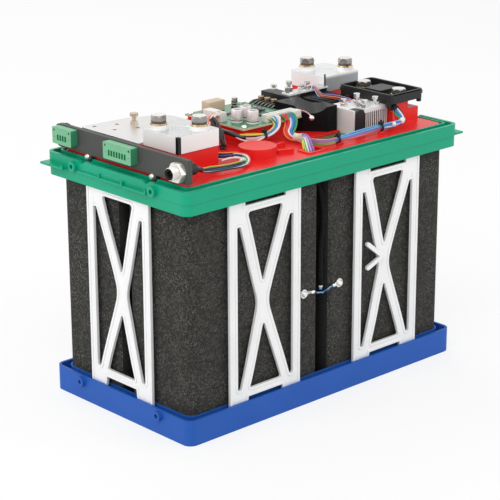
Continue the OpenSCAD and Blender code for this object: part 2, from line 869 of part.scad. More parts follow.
module plate_stud() {
    color("gray") translate([plate_x + stud_place[0], plate_y + stud_place[1], plateau_z]) {
        cylinder(d = 4, h = 12);
        translate([0, 0, plate_t]) hexagon(7, 3);
        translate([0, 0, 10]) cylinder(d = 8, h = 3);
    }
}

// Terminal blocks and their bolts

bolts_a = block_bolts(block_a, bolt_edge, bolt_far_a);
bolts_b = block_bolts(block_b, bolt_inset, bolt_far_b);

// Two bolts on a block's diagonal, each as near its corner as the pads allow
function block_bolts(p, inset, far) = [
    [p[0] + inset, p[1] + block_w - bolt_inset],
    [p[0] + block_l - far, p[1] + bolt_edge]
];
bolt_places = concat(bolts_a, bolts_b);
fuse_bolts = [for (s = [-1, 1]) [holder_x, holder_y + s * fuse_bolt_pitch / 2]];
fuse_bolt_z = holder_z + holder_wall + fuse_tab_t;
all_bolts = concat([for (b = bolt_places) [b[0], b[1], pad_top]],
    [for (b = fuse_bolts) [b[0], b[1], fuse_bolt_z]]);

module terminal_block(p, bolts, strip) {
    centre = [p[0] + block_l / 2, p[1] + block_w / 2];
    color("gainsboro") difference() {
        union() {
            translate([centre[0], centre[1], plateau_z]) linear_extrude(block_h)
                round_rect(block_l, block_w, 1.5);
            for (b = bolts) translate([b[0], b[1], block_top - lap]) cylinder(d = pad_d, h = pad_h + lap);
        }
        for (b = bolts) translate([b[0], b[1], plateau_z - lap]) cylinder(d = bolt_d, h = 60);
        translate([centre[0], centre[1], block_top - 0.6]) rotate(45)
            translate([-8, -8, 0]) cube([16, 16, 2]);
        for (i = [-1:1]) translate([centre[0] + 4 * i, centre[1] - 4 * i, block_top - 1.4])
            cylinder(d = 2, h = 2, $fn = 16);
        if (strip) block([p[0] - lap, p[1] - lap, plateau_z - lap],
            [strip_w + lap, strip_w + lap, block_h + 2 * lap]);
    }
}

module terminal_block_left() { terminal_block(block_a, bolts_a, true); }

module terminal_block_right() { terminal_block(block_b, bolts_b, false); }

module corner_strip() {
    color("black") block([block_a[0], block_a[1], plateau_z], [strip_w, strip_w, block_h - 0.4]);
}

module terminal_bolts() {
    color("silver") for (b = all_bolts) translate([b[0], b[1], b[2]]) {
        head_z = washer_t + spring_t;
        head_h = b[2] == pad_top ? bolt_head_h : fuse_head_h;
        translate([0, 0, head_z]) intersection() {
            hexagon(bolt_af, head_h);
            translate([0, 0, -lap]) cylinder(d1 = bolt_af + 6, d2 = bolt_af, h = head_h + lap);
        }
        shank = b[2] == pad_top ? bolt_len : head_z + fuse_tab_t + holder_wall - 0.4;
        translate([0, 0, head_z - shank]) cylinder(d = bolt_d, h = shank + eps);
    }
}

module flat_washers() {
    color("goldenrod") for (b = all_bolts) translate([b[0], b[1], b[2]]) difference() {
        cylinder(d = washer_d, h = washer_t);
        translate([0, 0, -lap]) cylinder(d = bolt_d, h = washer_t + 2 * lap);
    }
}

module spring_washers() {
    color("goldenrod") for (b = all_bolts) translate([b[0], b[1], b[2] + washer_t]) difference() {
        cylinder(d = spring_d, h = spring_t);
        translate([0, 0, -lap]) cylinder(d = bolt_d, h = spring_t + 2 * lap);
        block([bolt_d / 2 - lap, -0.6, -lap], [spring_d, 1.2, spring_t + 2 * lap]);
    }
}

// Main fuse in its holder

module fuse_holder() {
    color("dimgray") translate([holder_x, holder_y, holder_z]) difference() {
        union() {
            linear_extrude(holder_h) round_rect(holder_l, holder_w, 4);
            // Feet and ears at the corners
            for (x = [-1, 1], y = [-1, 1])
                translate([x * (holder_l / 2 - 2), y * (holder_w / 2 - 4), -4])
                    cylinder(d = 5, h = 8);
            translate([holder_l / 2 - 1, -holder_w / 2 + 4, holder_h - 5]) cylinder(d = 6, h = 3);
            translate([-holder_l / 2 + 1, holder_w / 2 - 4, holder_h - 5]) cylinder(d = 6, h = 3);
        }
        translate([0, 0, holder_wall]) linear_extrude(holder_h)
            round_rect(holder_l - 2 * holder_wall, holder_w - 2 * holder_wall, 2);
        for (s = [-1, 1]) translate([0, s * fuse_bolt_pitch / 2, -lap])
            cylinder(d = bolt_d, h = holder_wall + 2 * lap);
    }
}

module main_fuse() {
    color("darkslategray") translate([holder_x, holder_y, holder_z + holder_wall]) difference() {
        union() {
            linear_extrude(fuse_tab_t) round_rect(16, fuse_bolt_pitch + 17, 6);
            linear_extrude(holder_h - holder_wall - 1)
                round_rect(26, 22, 3);
        }
        for (s = [-1, 1]) translate([0, s * fuse_bolt_pitch / 2, -lap])
            cylinder(d = bolt_d, h = fuse_tab_t + 2 * lap);
    }
}

// Control board and what stands on it

module control_board() {
    color("seagreen") difference() {
        block([board_x, board_y, board_z], [board_l, board_w, board_t]);
        for (s = board_screws) translate([s[0], s[1], board_z - lap])
            cylinder(d = sensor_hole_d, h = board_t + 2 * lap);
    }
}

cap_places = [[-22, 6], [-14, -8], [-7, 10]];

module capacitors() {
    color("rosybrown") for (c = cap_places) translate([c[0], c[1], board_top]) {
        cylinder(d = cap_d, h = 1.6);
        cylinder(d = cap_d - 0.6, h = cap_h);
    }
}

module film_capacitor() {
    color("tan") block([-20, 48, board_top], [21, 12, 11]);
}

module board_connectors() {
    color("ivory") {
        difference() {
            block([-36, 14, board_top], [8, 11, 9]);
            block([-34.5, 15.5, board_top + 3], [5, 8, 9]);
        }
        block([-34, 28, board_top], [10, 14, 8]);
        translate([15, 50, board_top]) cylinder(d = 6, h = 10);
    }
}

header_row_x = -4;
header_row_y = -17.5;
header_row_l = 39;

module wire_header() {
    color("ivory") difference() {
        union() {
            block([header_row_x, header_row_y, board_top], [header_row_l, 8, 7]);
            block([header_row_x + header_row_l - 8, header_row_y - 3, board_top], [12, 7, 6]);
        }
        for (i = [1:12]) block([header_row_x + 3 * i, header_row_y + 2, board_top + 4], [1.8, 4, 6]);
    }
}

board_screws = [[board_x + 4, board_y + 4], [board_x + 4, board_y + board_w - 4],
    [board_x + board_l - 4, board_y + board_w - 4]];

module pan_screw() {
    translate([0, 0, 1.2]) cylinder(d1 = 5.6, d2 = 4.2, h = 1.2);
    cylinder(d = 5.6, h = 1.2);
    translate([0, 0, -5]) cylinder(d = sensor_hole_d, h = 5 + eps);
}

module terminal_screw() {
    cylinder(d = 4, h = 1.6 + eps);
    translate([0, 0, 1.6]) cylinder(d = 6.4, h = 2.4);
}

module small_screws() {
    color("whitesmoke") {
        for (y = [-1, 1]) translate([-panel_x - panel_t, y * screw_y, tab_z])
            rotate([0, -90, 0]) pan_screw();
        for (s = board_screws) translate([s[0], s[1], board_top]) pan_screw();
        for (x = [-1, 1]) translate([sensor_mid + x * sensor_x, -foam_y - 1, sensor_z])
            rotate([90, 0, 0]) pan_screw();
        for (i = [0:3]) translate([finger_x + finger_run + 7, finger_base_y + 4 + 9.4 * i,
            board_top + finger_rise - finger_t]) terminal_screw();
    }
}

// Board that carries the heat sink, held under the cut-out of the deck
module power_board() {
    color("seagreen") block([cutout_x - 6, cutout_y - 6, power_board_z],
        [holder_seat_x - fit - cutout_x + 6, sink_y + sink_w - cutout_y + 10, board_t]);
}

finger_x = board_x + board_l + 0.5;
finger_base_y = 19;
finger_y = [for (i = [0:6]) finger_base_y + 2 + 5.2 * i];
finger_r = 13;
finger_w = 2.6;
finger_t = 1.6;
finger_run = 6;
finger_rise = 3;

module contact_fingers() {
    color("black") {
        block([finger_x + finger_run, finger_base_y, deck_z],
            [16, 36, board_top + finger_rise - finger_t - deck_z]);
        for (y = finger_y) translate([finger_x + finger_run, y, board_top + finger_rise - finger_r])
            rotate([90, 0, 0]) translate([0, 0, -finger_w / 2]) difference() {
                cylinder(r = finger_r, h = finger_w, $fn = 96);
                translate([0, 0, -lap])
                    cylinder(r = finger_r - finger_t, h = finger_w + 2 * lap, $fn = 96);
                block([-20, -20, -lap], [40, 20 + finger_r - finger_rise, 10]);
                block([0, -1, -lap], [40, 20, 10]);
            }
        for (y = finger_y) block([finger_x + finger_run - eps, y - finger_w / 2,
            board_top + finger_rise - finger_t - eps], [4, finger_w, finger_t + eps]);
    }
}

// Aluminium strip from the relay bar to the right terminal block
module relay_busbar() {
    color("silver") block([bar_x + 4, bar_y + 3, bar_top],
        [block_b[0] - fit - bar_x - 4, 12, plate_t]);
}

// Contactor with its saddle-shaped top

module contactor() {
    color("black") difference() {
        translate([con_x, con_y, deck_z]) linear_extrude(contactor_h)
            polygon([[con_cut, 0], [con_l, 0], [con_l, con_w], [0, con_w], [0, con_skew]]);
        // Valley that opens at the cut-off corner and climbs towards the back
        translate([con_x + con_cut * 0.45, con_y + con_skew * 0.55,
            deck_z + contactor_h - valley_depth])
            rotate(atan2(con_skew, con_cut) - 90) rotate([-90 + valley_tilt, 0, 0])
                translate([0, -valley_r, -20]) cylinder(r = valley_r, h = 80, $fn = 96);
    }
}

module relay_bar() {
    color("black") {
        block([bar_x, bar_y, bar_top - bar_thick], [bar_l, bar_width, bar_thick]);
        block([bar_x + 2, bar_y + 2, deck_z], [bar_l - 4, bar_width - 4, bar_top - deck_z - 1]);
    }
}

module stud(h) {
    cylinder(d = 4, h = h);
    hexagon(7, h * 0.45);
    translate([0, 0, h * 0.72]) cylinder(d = 6.4, h = h * 0.28);
}

module relay_studs() {
    color("silver") {
        translate([69, 50, bar_top]) stud(7);
        for (s = [[70, 14], [88, 7], [96, 9]])
            translate([s[0], bar_y + 9, bar_top + plate_t]) stud(s[1] - plate_t);
    }
}

// Heat sink

module heat_sink() {
    fins = floor((sink_l - sink_wall - sink_insert_l - fin_t - 1) / fin_pitch);
    color("silver") translate([sink_x, sink_y, sink_z]) {
        difference() {
            block([0, 0, sink_h - sink_top_t], [sink_l, sink_w, sink_top_t]);
            block([sink_wall, -lap, sink_h - sink_top_t - lap],
                [sink_insert_l, sink_insert_w + fit + lap, sink_top_t + 2 * lap]);
        }
        block([0, 0, 0], [sink_wall, sink_w, sink_h]);
        block([sink_wall, sink_w - 3, 0], [sink_l - sink_wall, 3, sink_h]);
        for (i = [0:fins])
            block([sink_l - fin_t - i * fin_pitch, 0, 0], [fin_t, sink_w, sink_h - eps]);
    }
}

module sink_insert() {
    deep = sink_insert_w + sink_insert_out;
    color("black") translate([sink_x + sink_wall + fit, sink_y - sink_insert_out, sink_z])
        rotate([90, 0, 0]) translate([0, 0, -deep]) linear_extrude(deep)
            polygon(rounded([[0, 0], [sink_insert_l - 2 * fit, 0],
                [sink_insert_l - 2 * fit, sink_h], [0, sink_h]], [0.5, 0.5, 5, 5]));
}

// Place and height of each stud on the heat sink
sink_stud_places = [[8, 21.5, 7.5], [17.5, 13, 13], [19.5, 4, 7.5], [35, 4.5, 8.5]];

module sink_studs() {
    color("silver") for (s = sink_stud_places)
        translate([sink_x + s[0], sink_y + s[1], sink_z + sink_h]) stud(s[2]);
}

// Sensor link across the gap between the front jackets

module sensor_terminals() {
    color("silver") for (s = [-1, 1]) translate([sensor_mid + s * sensor_x, -foam_y, sensor_z])
        rotate([90, 0, 0]) {
            difference() {
                cylinder(d = 9, h = 1);
                translate([0, 0, -lap]) cylinder(d = sensor_hole_d, h = 1 + 2 * lap);
            }
            translate([-s * 3, 0, 0]) rotate(s > 0 ? 180 : 0) translate([0, -1.5, 0])
                cube([5, 3, 1]);
            translate([-s * 7.5 - (s > 0 ? 4 : 0), 0, 2]) along_x(4, 4);
            block([-s * 7.5 - (s > 0 ? 4 : 0), -1.5, 0], [4, 3, 1.5]);
        }
}

// Routes of the wiring, as points along the middle of each bundle

sensor_route = [for (q = [[-12.3, 2, 0], [-10.5, 2, 0.4], [-8, 2, 2.1], [-4, 1.6, 3], [0, 1.6, 3.5],
    [4, 1.6, 3], [8, 2, 2.1], [10.5, 2, 0.4], [12.3, 2, 0]])
    [sensor_mid + q[0], -foam_y - q[1], sensor_z - q[2]]];
lead_route = [for (q = [[0, 11.2, 232], [0, 9.2, 216], [2, 6.2, 202], [3, 4.2, 188], [3, 4, 172],
    [2, 4.5, 158], [0, 3.7, 145], [-1, 2.7, 130], [-1, 2.2, 112]]) [q[0], q[1] - foam_y, q[2]]];
front_route = [[10, -47.6, 247], [12, -58, 246], [17, -69, 246], [25, -76, 248], [34, -78, 249.6],
    [46, -78, 249], [60, -77, 249.5], [76, -76, 250], [92, -78, 249.6], [102, -79, 250],
    [113, -79, 251], [121, -78, 253], [125, -73, 257], [127, -67, 261], [128, -62.8, 262.4]];
pocket_route = [[10.5, -50, 249], [9, -56, 252], [5, -63, 252], [1, -70, 249.5], [-1, -75, 246],
    [-1, -77.5, 241], [-1, -77.5, 235]];
drop_one_route = [[5, -17.5, 264], [5, -20.5, 264], [3.5, -24.5, 261], [0, -27, 255.5],
    [-7, -28, 251], [-13, -28, 249.6], [-22, -27, 248], [-31, -26, 248], [-41, -22, 248],
    [-46, -10, 249], [-46, 2, 250]];
drop_two_route = [[17, -17.5, 264], [17, -21, 264], [18, -25.5, 260.5], [17, -30, 254.5],
    [14, -37, 250], [11, -42.5, 247.6], [10.4, -46.4, 247.3]];
bus_route = [for (q = [[12, 0, 0], [15.2, 0, 0], [20.7, 5, -4], [29.7, 14, -9.5], [40.7, 19, -11.4],
    [53.7, 18, -11.5], [66.7, 14, -11.5], [76.7, 9, -11.5], [84.7, 10, -11.5], [90.7, 17, -11.5],
    [87.7, 24, -11.5], [79.7, 28, -11.2], [72.7, 34, -9], [70.7, 42, -7]])
    [q[0] - panel_x, q[1] + bus_y, q[2] + bus_z]];
power_route = [[-57, 8, 268], [-58.4, 0, 264], [-60, -8, 258], [-61, -11.5, 251], [-61, -12, 247],
    [-61, -12, 243.2]];
relay_route = [[98, 23.8, 272], [99, 20, 270.8], [95, 12, 267], [91, 3, 265.6], [93, -5, 265.4],
    [97, -14, 266], [99, -24, 266.9], [99, -30, 266.9]];

module sensor_lead() { color("black") tube(lead_route, 5); }

module sensor_wires() { color("navy") tube(sensor_route, 2.2); }

module front_harness() {
    color("steelblue") {
        tube(front_route, 5);
        tube(pocket_route, 4.5);
    }
}

module board_harness() {
    color("firebrick") {
        tube(drop_one_route, 4.5);
        tube(drop_two_route, 5);
    }
}

module bus_cable() { color("black") tube(bus_route, 5); }

module power_leads() { color("black") tube(power_route, 6); }

module relay_wires() { color("darkorange") tube(relay_route, 3.6); }

module tie(at, along, d) {
    translate(at) rotate([0, 0, along]) rotate([0, 90, 0]) difference() {
        cylinder(d = d + 2, h = 2.4, center = true);
        cylinder(d = d, h = 4, center = true);
    }
}

module cable_ties() {
    color("black") {
        tie([anchor_x[0], anchor_y, 249.6], 0, 5.8);
        tie([anchor_x[1], anchor_y, 249.6], -3, 5.4);
        tie([-13, -28, 249.6], 5, 5);
    }
}

base_tray();
top_rim();
deck();
side_frame_front_left();
side_frame_front_right();
side_frame_back_left();
side_frame_back_right();
end_frame_left();
end_frame_right();
foam_jacket_front_left();
foam_jacket_front_right();
foam_jacket_back_left();
foam_jacket_back_right();
cell_front_left();
cell_front_right();
cell_back_left();
cell_back_right();
cell_link_left();
cell_link_right();
cell_link_back();
connector_panel();
header_4_pole();
header_7_pole();
bus_connector_body();
bus_connector_nut();
bus_connector_insert();
mounting_plate();
plate_stud();
terminal_block_left();
terminal_block_right();
corner_strip();
terminal_bolts();
flat_washers();
spring_washers();
fuse_holder();
main_fuse();
control_board();
capacitors();
film_capacitor();
board_connectors();
wire_header();
small_screws();
power_board();
contact_fingers();
relay_busbar();
contactor();
relay_bar();
relay_studs();
heat_sink();
sink_insert();
sink_studs();
sensor_terminals();
sensor_lead();
sensor_wires();
front_harness();
board_harness();
bus_cable();
power_leads();
relay_wires();
cable_ties();
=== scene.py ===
"""Looks of the opened battery: finishes, dressed pieces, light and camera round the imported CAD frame."""

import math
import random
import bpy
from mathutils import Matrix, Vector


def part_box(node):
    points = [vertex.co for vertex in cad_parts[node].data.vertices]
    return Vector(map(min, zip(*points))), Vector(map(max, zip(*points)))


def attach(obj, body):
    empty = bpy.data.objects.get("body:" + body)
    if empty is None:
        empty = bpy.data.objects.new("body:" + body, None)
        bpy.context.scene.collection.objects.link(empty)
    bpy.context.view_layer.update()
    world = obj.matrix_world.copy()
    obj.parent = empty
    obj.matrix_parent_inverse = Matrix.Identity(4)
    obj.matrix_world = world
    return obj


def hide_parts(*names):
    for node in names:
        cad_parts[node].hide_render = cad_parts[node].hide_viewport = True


bl_info = {
    "name": "Opened battery",
    "version": (1, 0, 0),
    "blender": (4, 5, 0),
    "location": "3D View > Sidebar > Battery",
    "description": "Dresses the packed CAD model of an opened battery and sets its stage",
    "category": "Object",
}

import bmesh
import bpy
from bpy.props import FloatProperty, FloatVectorProperty, IntProperty, PointerProperty
from mathutils import Matrix, Vector

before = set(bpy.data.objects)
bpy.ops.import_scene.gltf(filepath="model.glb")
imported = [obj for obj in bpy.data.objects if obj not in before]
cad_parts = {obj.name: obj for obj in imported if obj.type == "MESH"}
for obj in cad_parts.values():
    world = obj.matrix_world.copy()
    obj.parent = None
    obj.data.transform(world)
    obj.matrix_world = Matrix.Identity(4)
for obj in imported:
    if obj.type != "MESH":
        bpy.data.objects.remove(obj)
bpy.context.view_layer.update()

MM = 0.001
# Direction to which the flat bands of wires lie open, from the battery to the camera
OPEN_SIDE = Vector((-0.647, -0.696, 0.313))


def mm(x, y, z):
    return Vector((x, y, z)) * MM


# Shader expressions


def math_step(operation, swapped=False):
    """A method that adds one Math node. Swapped puts the value itself last, as in 1 - mask."""

    def step(self, *others):
        values = (*others, self) if swapped else (self, *others)
        return self.nodes.node("ShaderNodeMath", {"operation": operation}, dict(enumerate(values)))

    return step


class Field:
    """A value that changes over a surface. Python's operators on it add Math nodes."""

    def __init__(self, nodes, socket):
        self.nodes = nodes
        self.socket = socket

    __add__ = math_step("ADD")
    __radd__ = math_step("ADD", True)
    __sub__ = math_step("SUBTRACT")
    __rsub__ = math_step("SUBTRACT", True)
    __mul__ = math_step("MULTIPLY")
    __rmul__ = math_step("MULTIPLY", True)
    __truediv__ = math_step("DIVIDE")
    __pow__ = math_step("POWER")
    above = math_step("GREATER_THAN")
    size = math_step("ABSOLUTE")
    highest = math_step("MAXIMUM")
    lowest = math_step("MINIMUM")


class Nodes:
    """The node tree of a material or of the world."""

    def __init__(self, owner):
        owner.use_nodes = True
        self.tree = owner.node_tree
        self.tree.nodes.clear()

    def node(self, kind, settings=None, inputs=None, output=0):
        made = self.tree.nodes.new(kind)
        for name, value in (settings or {}).items():
            setattr(made, name, value)
        for name, value in (inputs or {}).items():
            if isinstance(value, Field):
                self.tree.links.new(value.socket, made.inputs[name])
            elif isinstance(value, (tuple, list)) and made.inputs[name].type == "RGBA":
                made.inputs[name].default_value = (*value[:3], 1)
            else:
                made.inputs[name].default_value = value
        return Field(self, made.outputs[output]) if made.outputs else None

    def seen_rays(self):
        """One for rays of the camera, of mirrors and of glass, and zero for rays that carry light."""
        kinds = ("Is Camera Ray", "Is Glossy Ray", "Is Transmission Ray")
        camera, mirrored, through = [self.node("ShaderNodeLightPath", output=kind) for kind in kinds]
        return camera.highest(mirrored).highest(through)


class Finish(Nodes):
    """One material, built from expressions."""

    def __init__(self, name):
        self.material = bpy.data.materials.new(name)
        super().__init__(self.material)
        self.place = self.node("ShaderNodeTexCoord", output="Object")

    def stretched(self, x, y, z):
        settings = {"vector_type": "POINT"}
        return self.node("ShaderNodeMapping", settings, {"Vector": self.place, "Scale": (x, y, z)})

    def noise(self, size, detail=3, place=None):
        inputs = {"Vector": place or self.place, "Scale": 1 / size, "Detail": detail}
        return self.node("ShaderNodeTexNoise", None, inputs, "Fac")

    def beads(self, size, feature="F1", output="Distance"):
        inputs = {"Vector": self.place, "Scale": 1 / size}
        return self.node("ShaderNodeTexVoronoi", {"feature": feature}, inputs, output)

    def ribs(self, scale, **inputs):
        """Bands stacked along Z."""
        inputs.update(Vector=self.place, Scale=scale)
        return self.node("ShaderNodeTexWave", {"bands_direction": "Z"}, inputs, "Fac")

    def axis(self, name):
        return self.node("ShaderNodeSeparateXYZ", None, {0: self.place}, name)

    def looks(self, name):
        """One part of the direction in which the surface looks."""
        normal = self.node("ShaderNodeTexCoord", output="Normal")
        return self.node("ShaderNodeSeparateXYZ", None, {0: normal}, name)

    def mixed(self, one, other, share):
        inputs = {0: share, 6: one, 7: other}
        return self.node("ShaderNodeMix", {"data_type": "RGBA"}, inputs, 2)

    def tinted(self, colour, dark, light, share):
        """One colour that drifts between two strengths of itself."""
        return self.mixed(shade(colour, dark), shade(colour, light), share)

    def relief(self, height, depth, edge=0.0, strength=1.0):
        inputs = {"Height": height, "Distance": depth, "Strength": strength}
        if edge:
            inputs["Normal"] = self.node("ShaderNodeBevel", {"samples": 4}, {"Radius": edge})
        return self.node("ShaderNodeBump", None, inputs)

    def surface(self, colour, roughness, normal, **sockets):
        inputs = {"Base Color": colour, "Roughness": roughness, "Normal": normal}
        for name, value in sockets.items():
            inputs[name.replace("_", " ")] = value
        shader = self.node("ShaderNodeBsdfPrincipled", None, inputs)
        self.node("ShaderNodeOutputMaterial", None, {"Surface": shader})
        return self.material


# One finish for each material of the real object


def shade(colour, share):
    return tuple(min(1.0, channel * share) for channel in colour)


def moulded(name, colour, roughness, grain, edge, sheen=0.3):
    """Injection-moulded plastic: slow shade drift, fine grain and softened edges."""
    f = Finish(name)
    drift = f.noise(0.06, 2)
    grit = f.noise(grain, 4)
    marks = f.noise(0.012, 5, f.stretched(1, 1, 0.25)).above(0.66)
    tint = f.tinted(colour, 0.9, 1.12, drift)
    tint = f.mixed(tint, shade(colour, 1.3), marks * 0.12)
    gloss = roughness + (grit - 0.5) * 0.12 + drift * 0.06
    return f.surface(tint, gloss, f.relief(grit, 0.00012, edge, 0.5), Specular_IOR_Level=sheen)


def header_plastic(name, colour, shaded_flank):
    """Light green moulding whose flanks that face -Y or down take a darker green, painted shade."""
    f = Finish(name)
    drift = f.noise(0.02, 2)
    grit = f.noise(0.0009, 4)
    # Painted shade: faces that look to -Y or down take the darker flank colour
    side = (0 - f.looks("Y")).above(0.7).highest((0 - f.looks("Z")).above(0.7))
    tint = f.tinted(colour, 0.92, 1.1, drift)
    tint = f.mixed(tint, shaded_flank, side * 0.8)
    return f.surface(tint, 0.36 + grit * 0.1, f.relief(grit, 0.0001, 0.0003, 0.5), Specular_IOR_Level=0.3)


def bead_foam(name, colour):
    """Moulded foam of fused beads: each bead is a low cushion with its own shade of black."""
    f = Finish(name)
    bead = 0.0024
    gap = f.beads(bead, "DISTANCE_TO_EDGE")
    cell = f.beads(bead, "F1", "Color")
    speck = f.noise(0.0013, 2)
    cloud = f.noise(0.03, 4)
    seam = 1 - (gap * 6).lowest(1)
    cell_shade = f.node("ShaderNodeSeparateColor", None, {0: cell}, 0)
    tint = f.tinted(colour, 0.3, 1.8, cell_shade)
    tint = f.mixed(tint, shade(colour, 0.2), seam * 0.7)
    cluster = (cloud * 4 - 1.6).lowest(1).highest(0.12)
    tint = f.mixed(tint, shade(colour, 6), speck.above(0.61) * cluster * 0.6)
    tint = f.mixed(tint, shade(colour, 0.3), (1 - speck).above(0.6) * 0.7)
    tint = f.mixed(tint, shade(colour, 0.6), cloud * 0.35)
    # Walls that face the narrow gaps between the jackets get painted shade, almost black
    for axis in "XY":
        wall = f.looks(axis).size().above(0.6) * (1 - f.axis(axis).size().above(0.014))
        tint = f.mixed(tint, shade(colour, 0.08), wall * 0.92)
    skin = (gap * 5).lowest(1) ** 0.5 + speck * 0.5
    return f.surface(tint, 0.8 + cell_shade * 0.14, f.relief(skin, 0.0006), Specular_IOR_Level=0.35)


def frame_coat(name, colour):
    """Pressed metal with a thin silver-white coat that has pooled a little at the ridges."""
    f = Finish(name)
    drift = f.noise(0.03, 3)
    orange_peel = f.noise(0.0016, 2)
    scuff = f.noise(0.004, 6, f.stretched(1, 1, 0.15)).above(0.71)
    tint = f.tinted(colour, 0.93, 1.04, drift)
    tint = f.mixed(tint, shade(colour, 0.62), scuff * 0.25)
    gloss = 0.3 + orange_peel * 0.14 + scuff * 0.2
    return f.surface(tint, gloss, f.relief(orange_peel, 0.00006, 0.0009, 0.5), Metallic=0.15)


def milled(name, colour, roughness, along, metal=1.0):
    """Aluminium with the fine lines of the mill along one direction."""
    f = Finish(name)
    lines = f.noise(0.0006, 4, f.stretched(*along))
    cloud = f.noise(0.018, 2)
    tint = f.tinted(colour, 0.86, 1, lines * 0.5 + cloud * 0.5)
    gloss = roughness + lines * 0.1 + cloud * 0.05
    return f.surface(tint, gloss, f.relief(lines, 0.00001, 0.0005, 0.4), Metallic=metal)


def block_metal(name, sides, top, shadow_from=0.0):
    """Bright block with mill lines on its metal top. Its sides are painted near-white and almost not
    metallic, a painted highlight; the painted shadow is a soft grey lower part.
    """
    f = Finish(name)
    up = f.looks("Z").above(0.7)
    lines = f.noise(0.0006, 4, f.stretched(1, 14, 1))
    cloud = f.noise(0.018, 2)
    # Sides: painted highlight, near-white with little metal
    lit_side_tint = f.tinted(sides, 0.93, 1, cloud * 0.7 + lines * 0.3)
    if shadow_from:
        depth = ((shadow_from - f.axis("Z")) / 0.0025).lowest(1).highest(0)
        front = (0 - f.looks("Y")).above(0.7)
        lit_side_tint = f.mixed(lit_side_tint, (0.2, 0.25, 0.26), depth * front * 0.8)
    tint = f.mixed(lit_side_tint, f.tinted(top, 0.84, 1.08, lines * 0.4 + cloud * 0.6), up)
    gloss = 0.34 + lines * 0.1 - up * 0.14
    return f.surface(tint, gloss, f.relief(lines, 0.00001, 0.0006, 0.4), Metallic=up * 0.8 + 0.08)


def bolt_metal(name, shaded_flats, top):
    """Bolt head: bright turned top and darker flats, painted shade picked by the direction each face looks.
    """
    f = Finish(name)
    up = f.looks("Z").highest(0)
    cloud = f.noise(0.003, 3)
    rings = f.noise(0.0005, 2, f.stretched(0.2, 0.2, 1))
    # Painted light by facing: the flats take painted shade, the top stays bright
    tint = f.mixed(shaded_flats, top, up ** 3)
    tint = f.mixed(tint, shade(top, 0.55), cloud.above(0.6) * 0.4)
    return f.surface(tint, 0.24 + cloud * 0.12, f.relief(rings, 0.00002, 0.0004, 0.4), Metallic=0.9)


def finned(name, colour, low, high):
    """Heat sink: drawn aluminium whose gaps between the fins, inside the box low to high, get painted
    shade, almost black.
    """
    f = Finish(name)
    fin_gap_shade = None
    for axis, start, end in zip("XYZ", low, high):
        place = f.axis(axis)
        span = place.above(start) * (1 - place.above(end))
        fin_gap_shade = span if fin_gap_shade is None else fin_gap_shade * span
    lines = f.noise(0.0007, 4, f.stretched(1, 1, 12))
    cloud = f.noise(0.01, 3)
    tint = f.tinted(colour, 0.8, 1.05, lines * 0.4 + cloud * 0.6)
    # Painted shade between the fins
    tint = f.mixed(tint, (0.012, 0.012, 0.013), fin_gap_shade * 0.96)
    metal = 0.3 - fin_gap_shade * 0.2
    return f.surface(tint, 0.3 + lines * 0.12 + fin_gap_shade * 0.3, f.relief(lines, 0.00001, 0.0005, 0.4),
        Metallic=metal)


def screw_metal(name, steel, gold, gold_from):
    """Small screws: zinc ones, and passivated ones beyond gold_from along X."""
    f = Finish(name)
    cloud = f.noise(0.002, 4)
    tint = f.mixed(steel, gold, f.axis("X").above(gold_from))
    tint = f.mixed(tint, shade(gold, 0.4), cloud.above(0.6) * 0.35)
    return f.surface(tint, 0.2 + cloud * 0.15, f.relief(cloud, 0.00003, 0.0003), Metallic=0.85)


def plated(name, colour, roughness):
    """Plated or turned fastener metal with faint turning marks."""
    f = Finish(name)
    cloud = f.noise(0.004, 4)
    rings = f.noise(0.0004, 2, f.stretched(0.2, 0.2, 1))
    tint = f.tinted(colour, 0.72, 1.08, cloud)
    return f.surface(tint, roughness + cloud * 0.12, f.relief(rings, 0.00002, 0.0004, 0.4), Metallic=1.0)


def circuit_board(name, colour):
    """Solder-masked board: copper tracks show as raised, lighter lines, with bright pads and holes."""
    f = Finish(name)
    tracks = f.node("ShaderNodeTexBrick", {"offset": 0.37, "squash": 1.6, "squash_frequency": 3},
        {"Vector": f.place, "Scale": 190.0, "Mortar Size": 0.09, "Brick Width": 0.9,
         "Row Height": 0.42, "Mortar Smooth": 0.1, "Color1": (0, 0, 0), "Color2": (0, 0, 0),
         "Mortar": (1, 1, 1)}, "Fac")
    patch = f.noise(0.007, 1).above(0.47)
    pads = 1 - f.beads(0.0032).above(0.17)
    pads = pads * f.noise(0.009, 1).above(0.55)
    tint = f.tinted(colour, 0.8, 1.5, tracks * patch)
    tint = f.mixed(tint, (0.62, 0.6, 0.5), pads)
    return f.surface(tint, 0.28 + pads * 0.1, f.relief(tracks * patch + pads, 0.00005), Coat_Weight=0.3)


def board_edge(name):
    """Cut edge of a board: thin layers of resin and glass."""
    f = Finish(name)
    layers = f.ribs(900.0, Distortion=1.0)
    tint = f.mixed((0.42, 0.45, 0.26), (0.62, 0.62, 0.42), layers)
    return f.surface(tint, 0.7, f.relief(layers, 0.00005))


def wire_coat(name, colour):
    """Wire insulation: softly glossy, with faint drawing lines and small shade changes."""
    f = Finish(name)
    drift = f.noise(0.012, 2)
    grime = f.noise(0.002, 4).above(0.68)
    tint = f.tinted(colour, 0.84, 1.12, drift)
    tint = f.mixed(tint, shade(colour, 0.6), grime * 0.3)
    return f.surface(tint, 0.34 + drift * 0.12, f.relief(drift, 0.00004), Coat_Weight=0.15)


def braid(name, colour):
    """Braided sleeve: fine crossing threads with small pale dots where they cross."""
    f = Finish(name)
    threads = f.beads(0.0016)
    dots = 1 - threads.above(0.24)
    tint = f.mixed(colour, shade(colour, 14), dots * 0.35)
    return f.surface(tint, 0.75, f.relief(threads, 0.0002), Specular_IOR_Level=0.12)


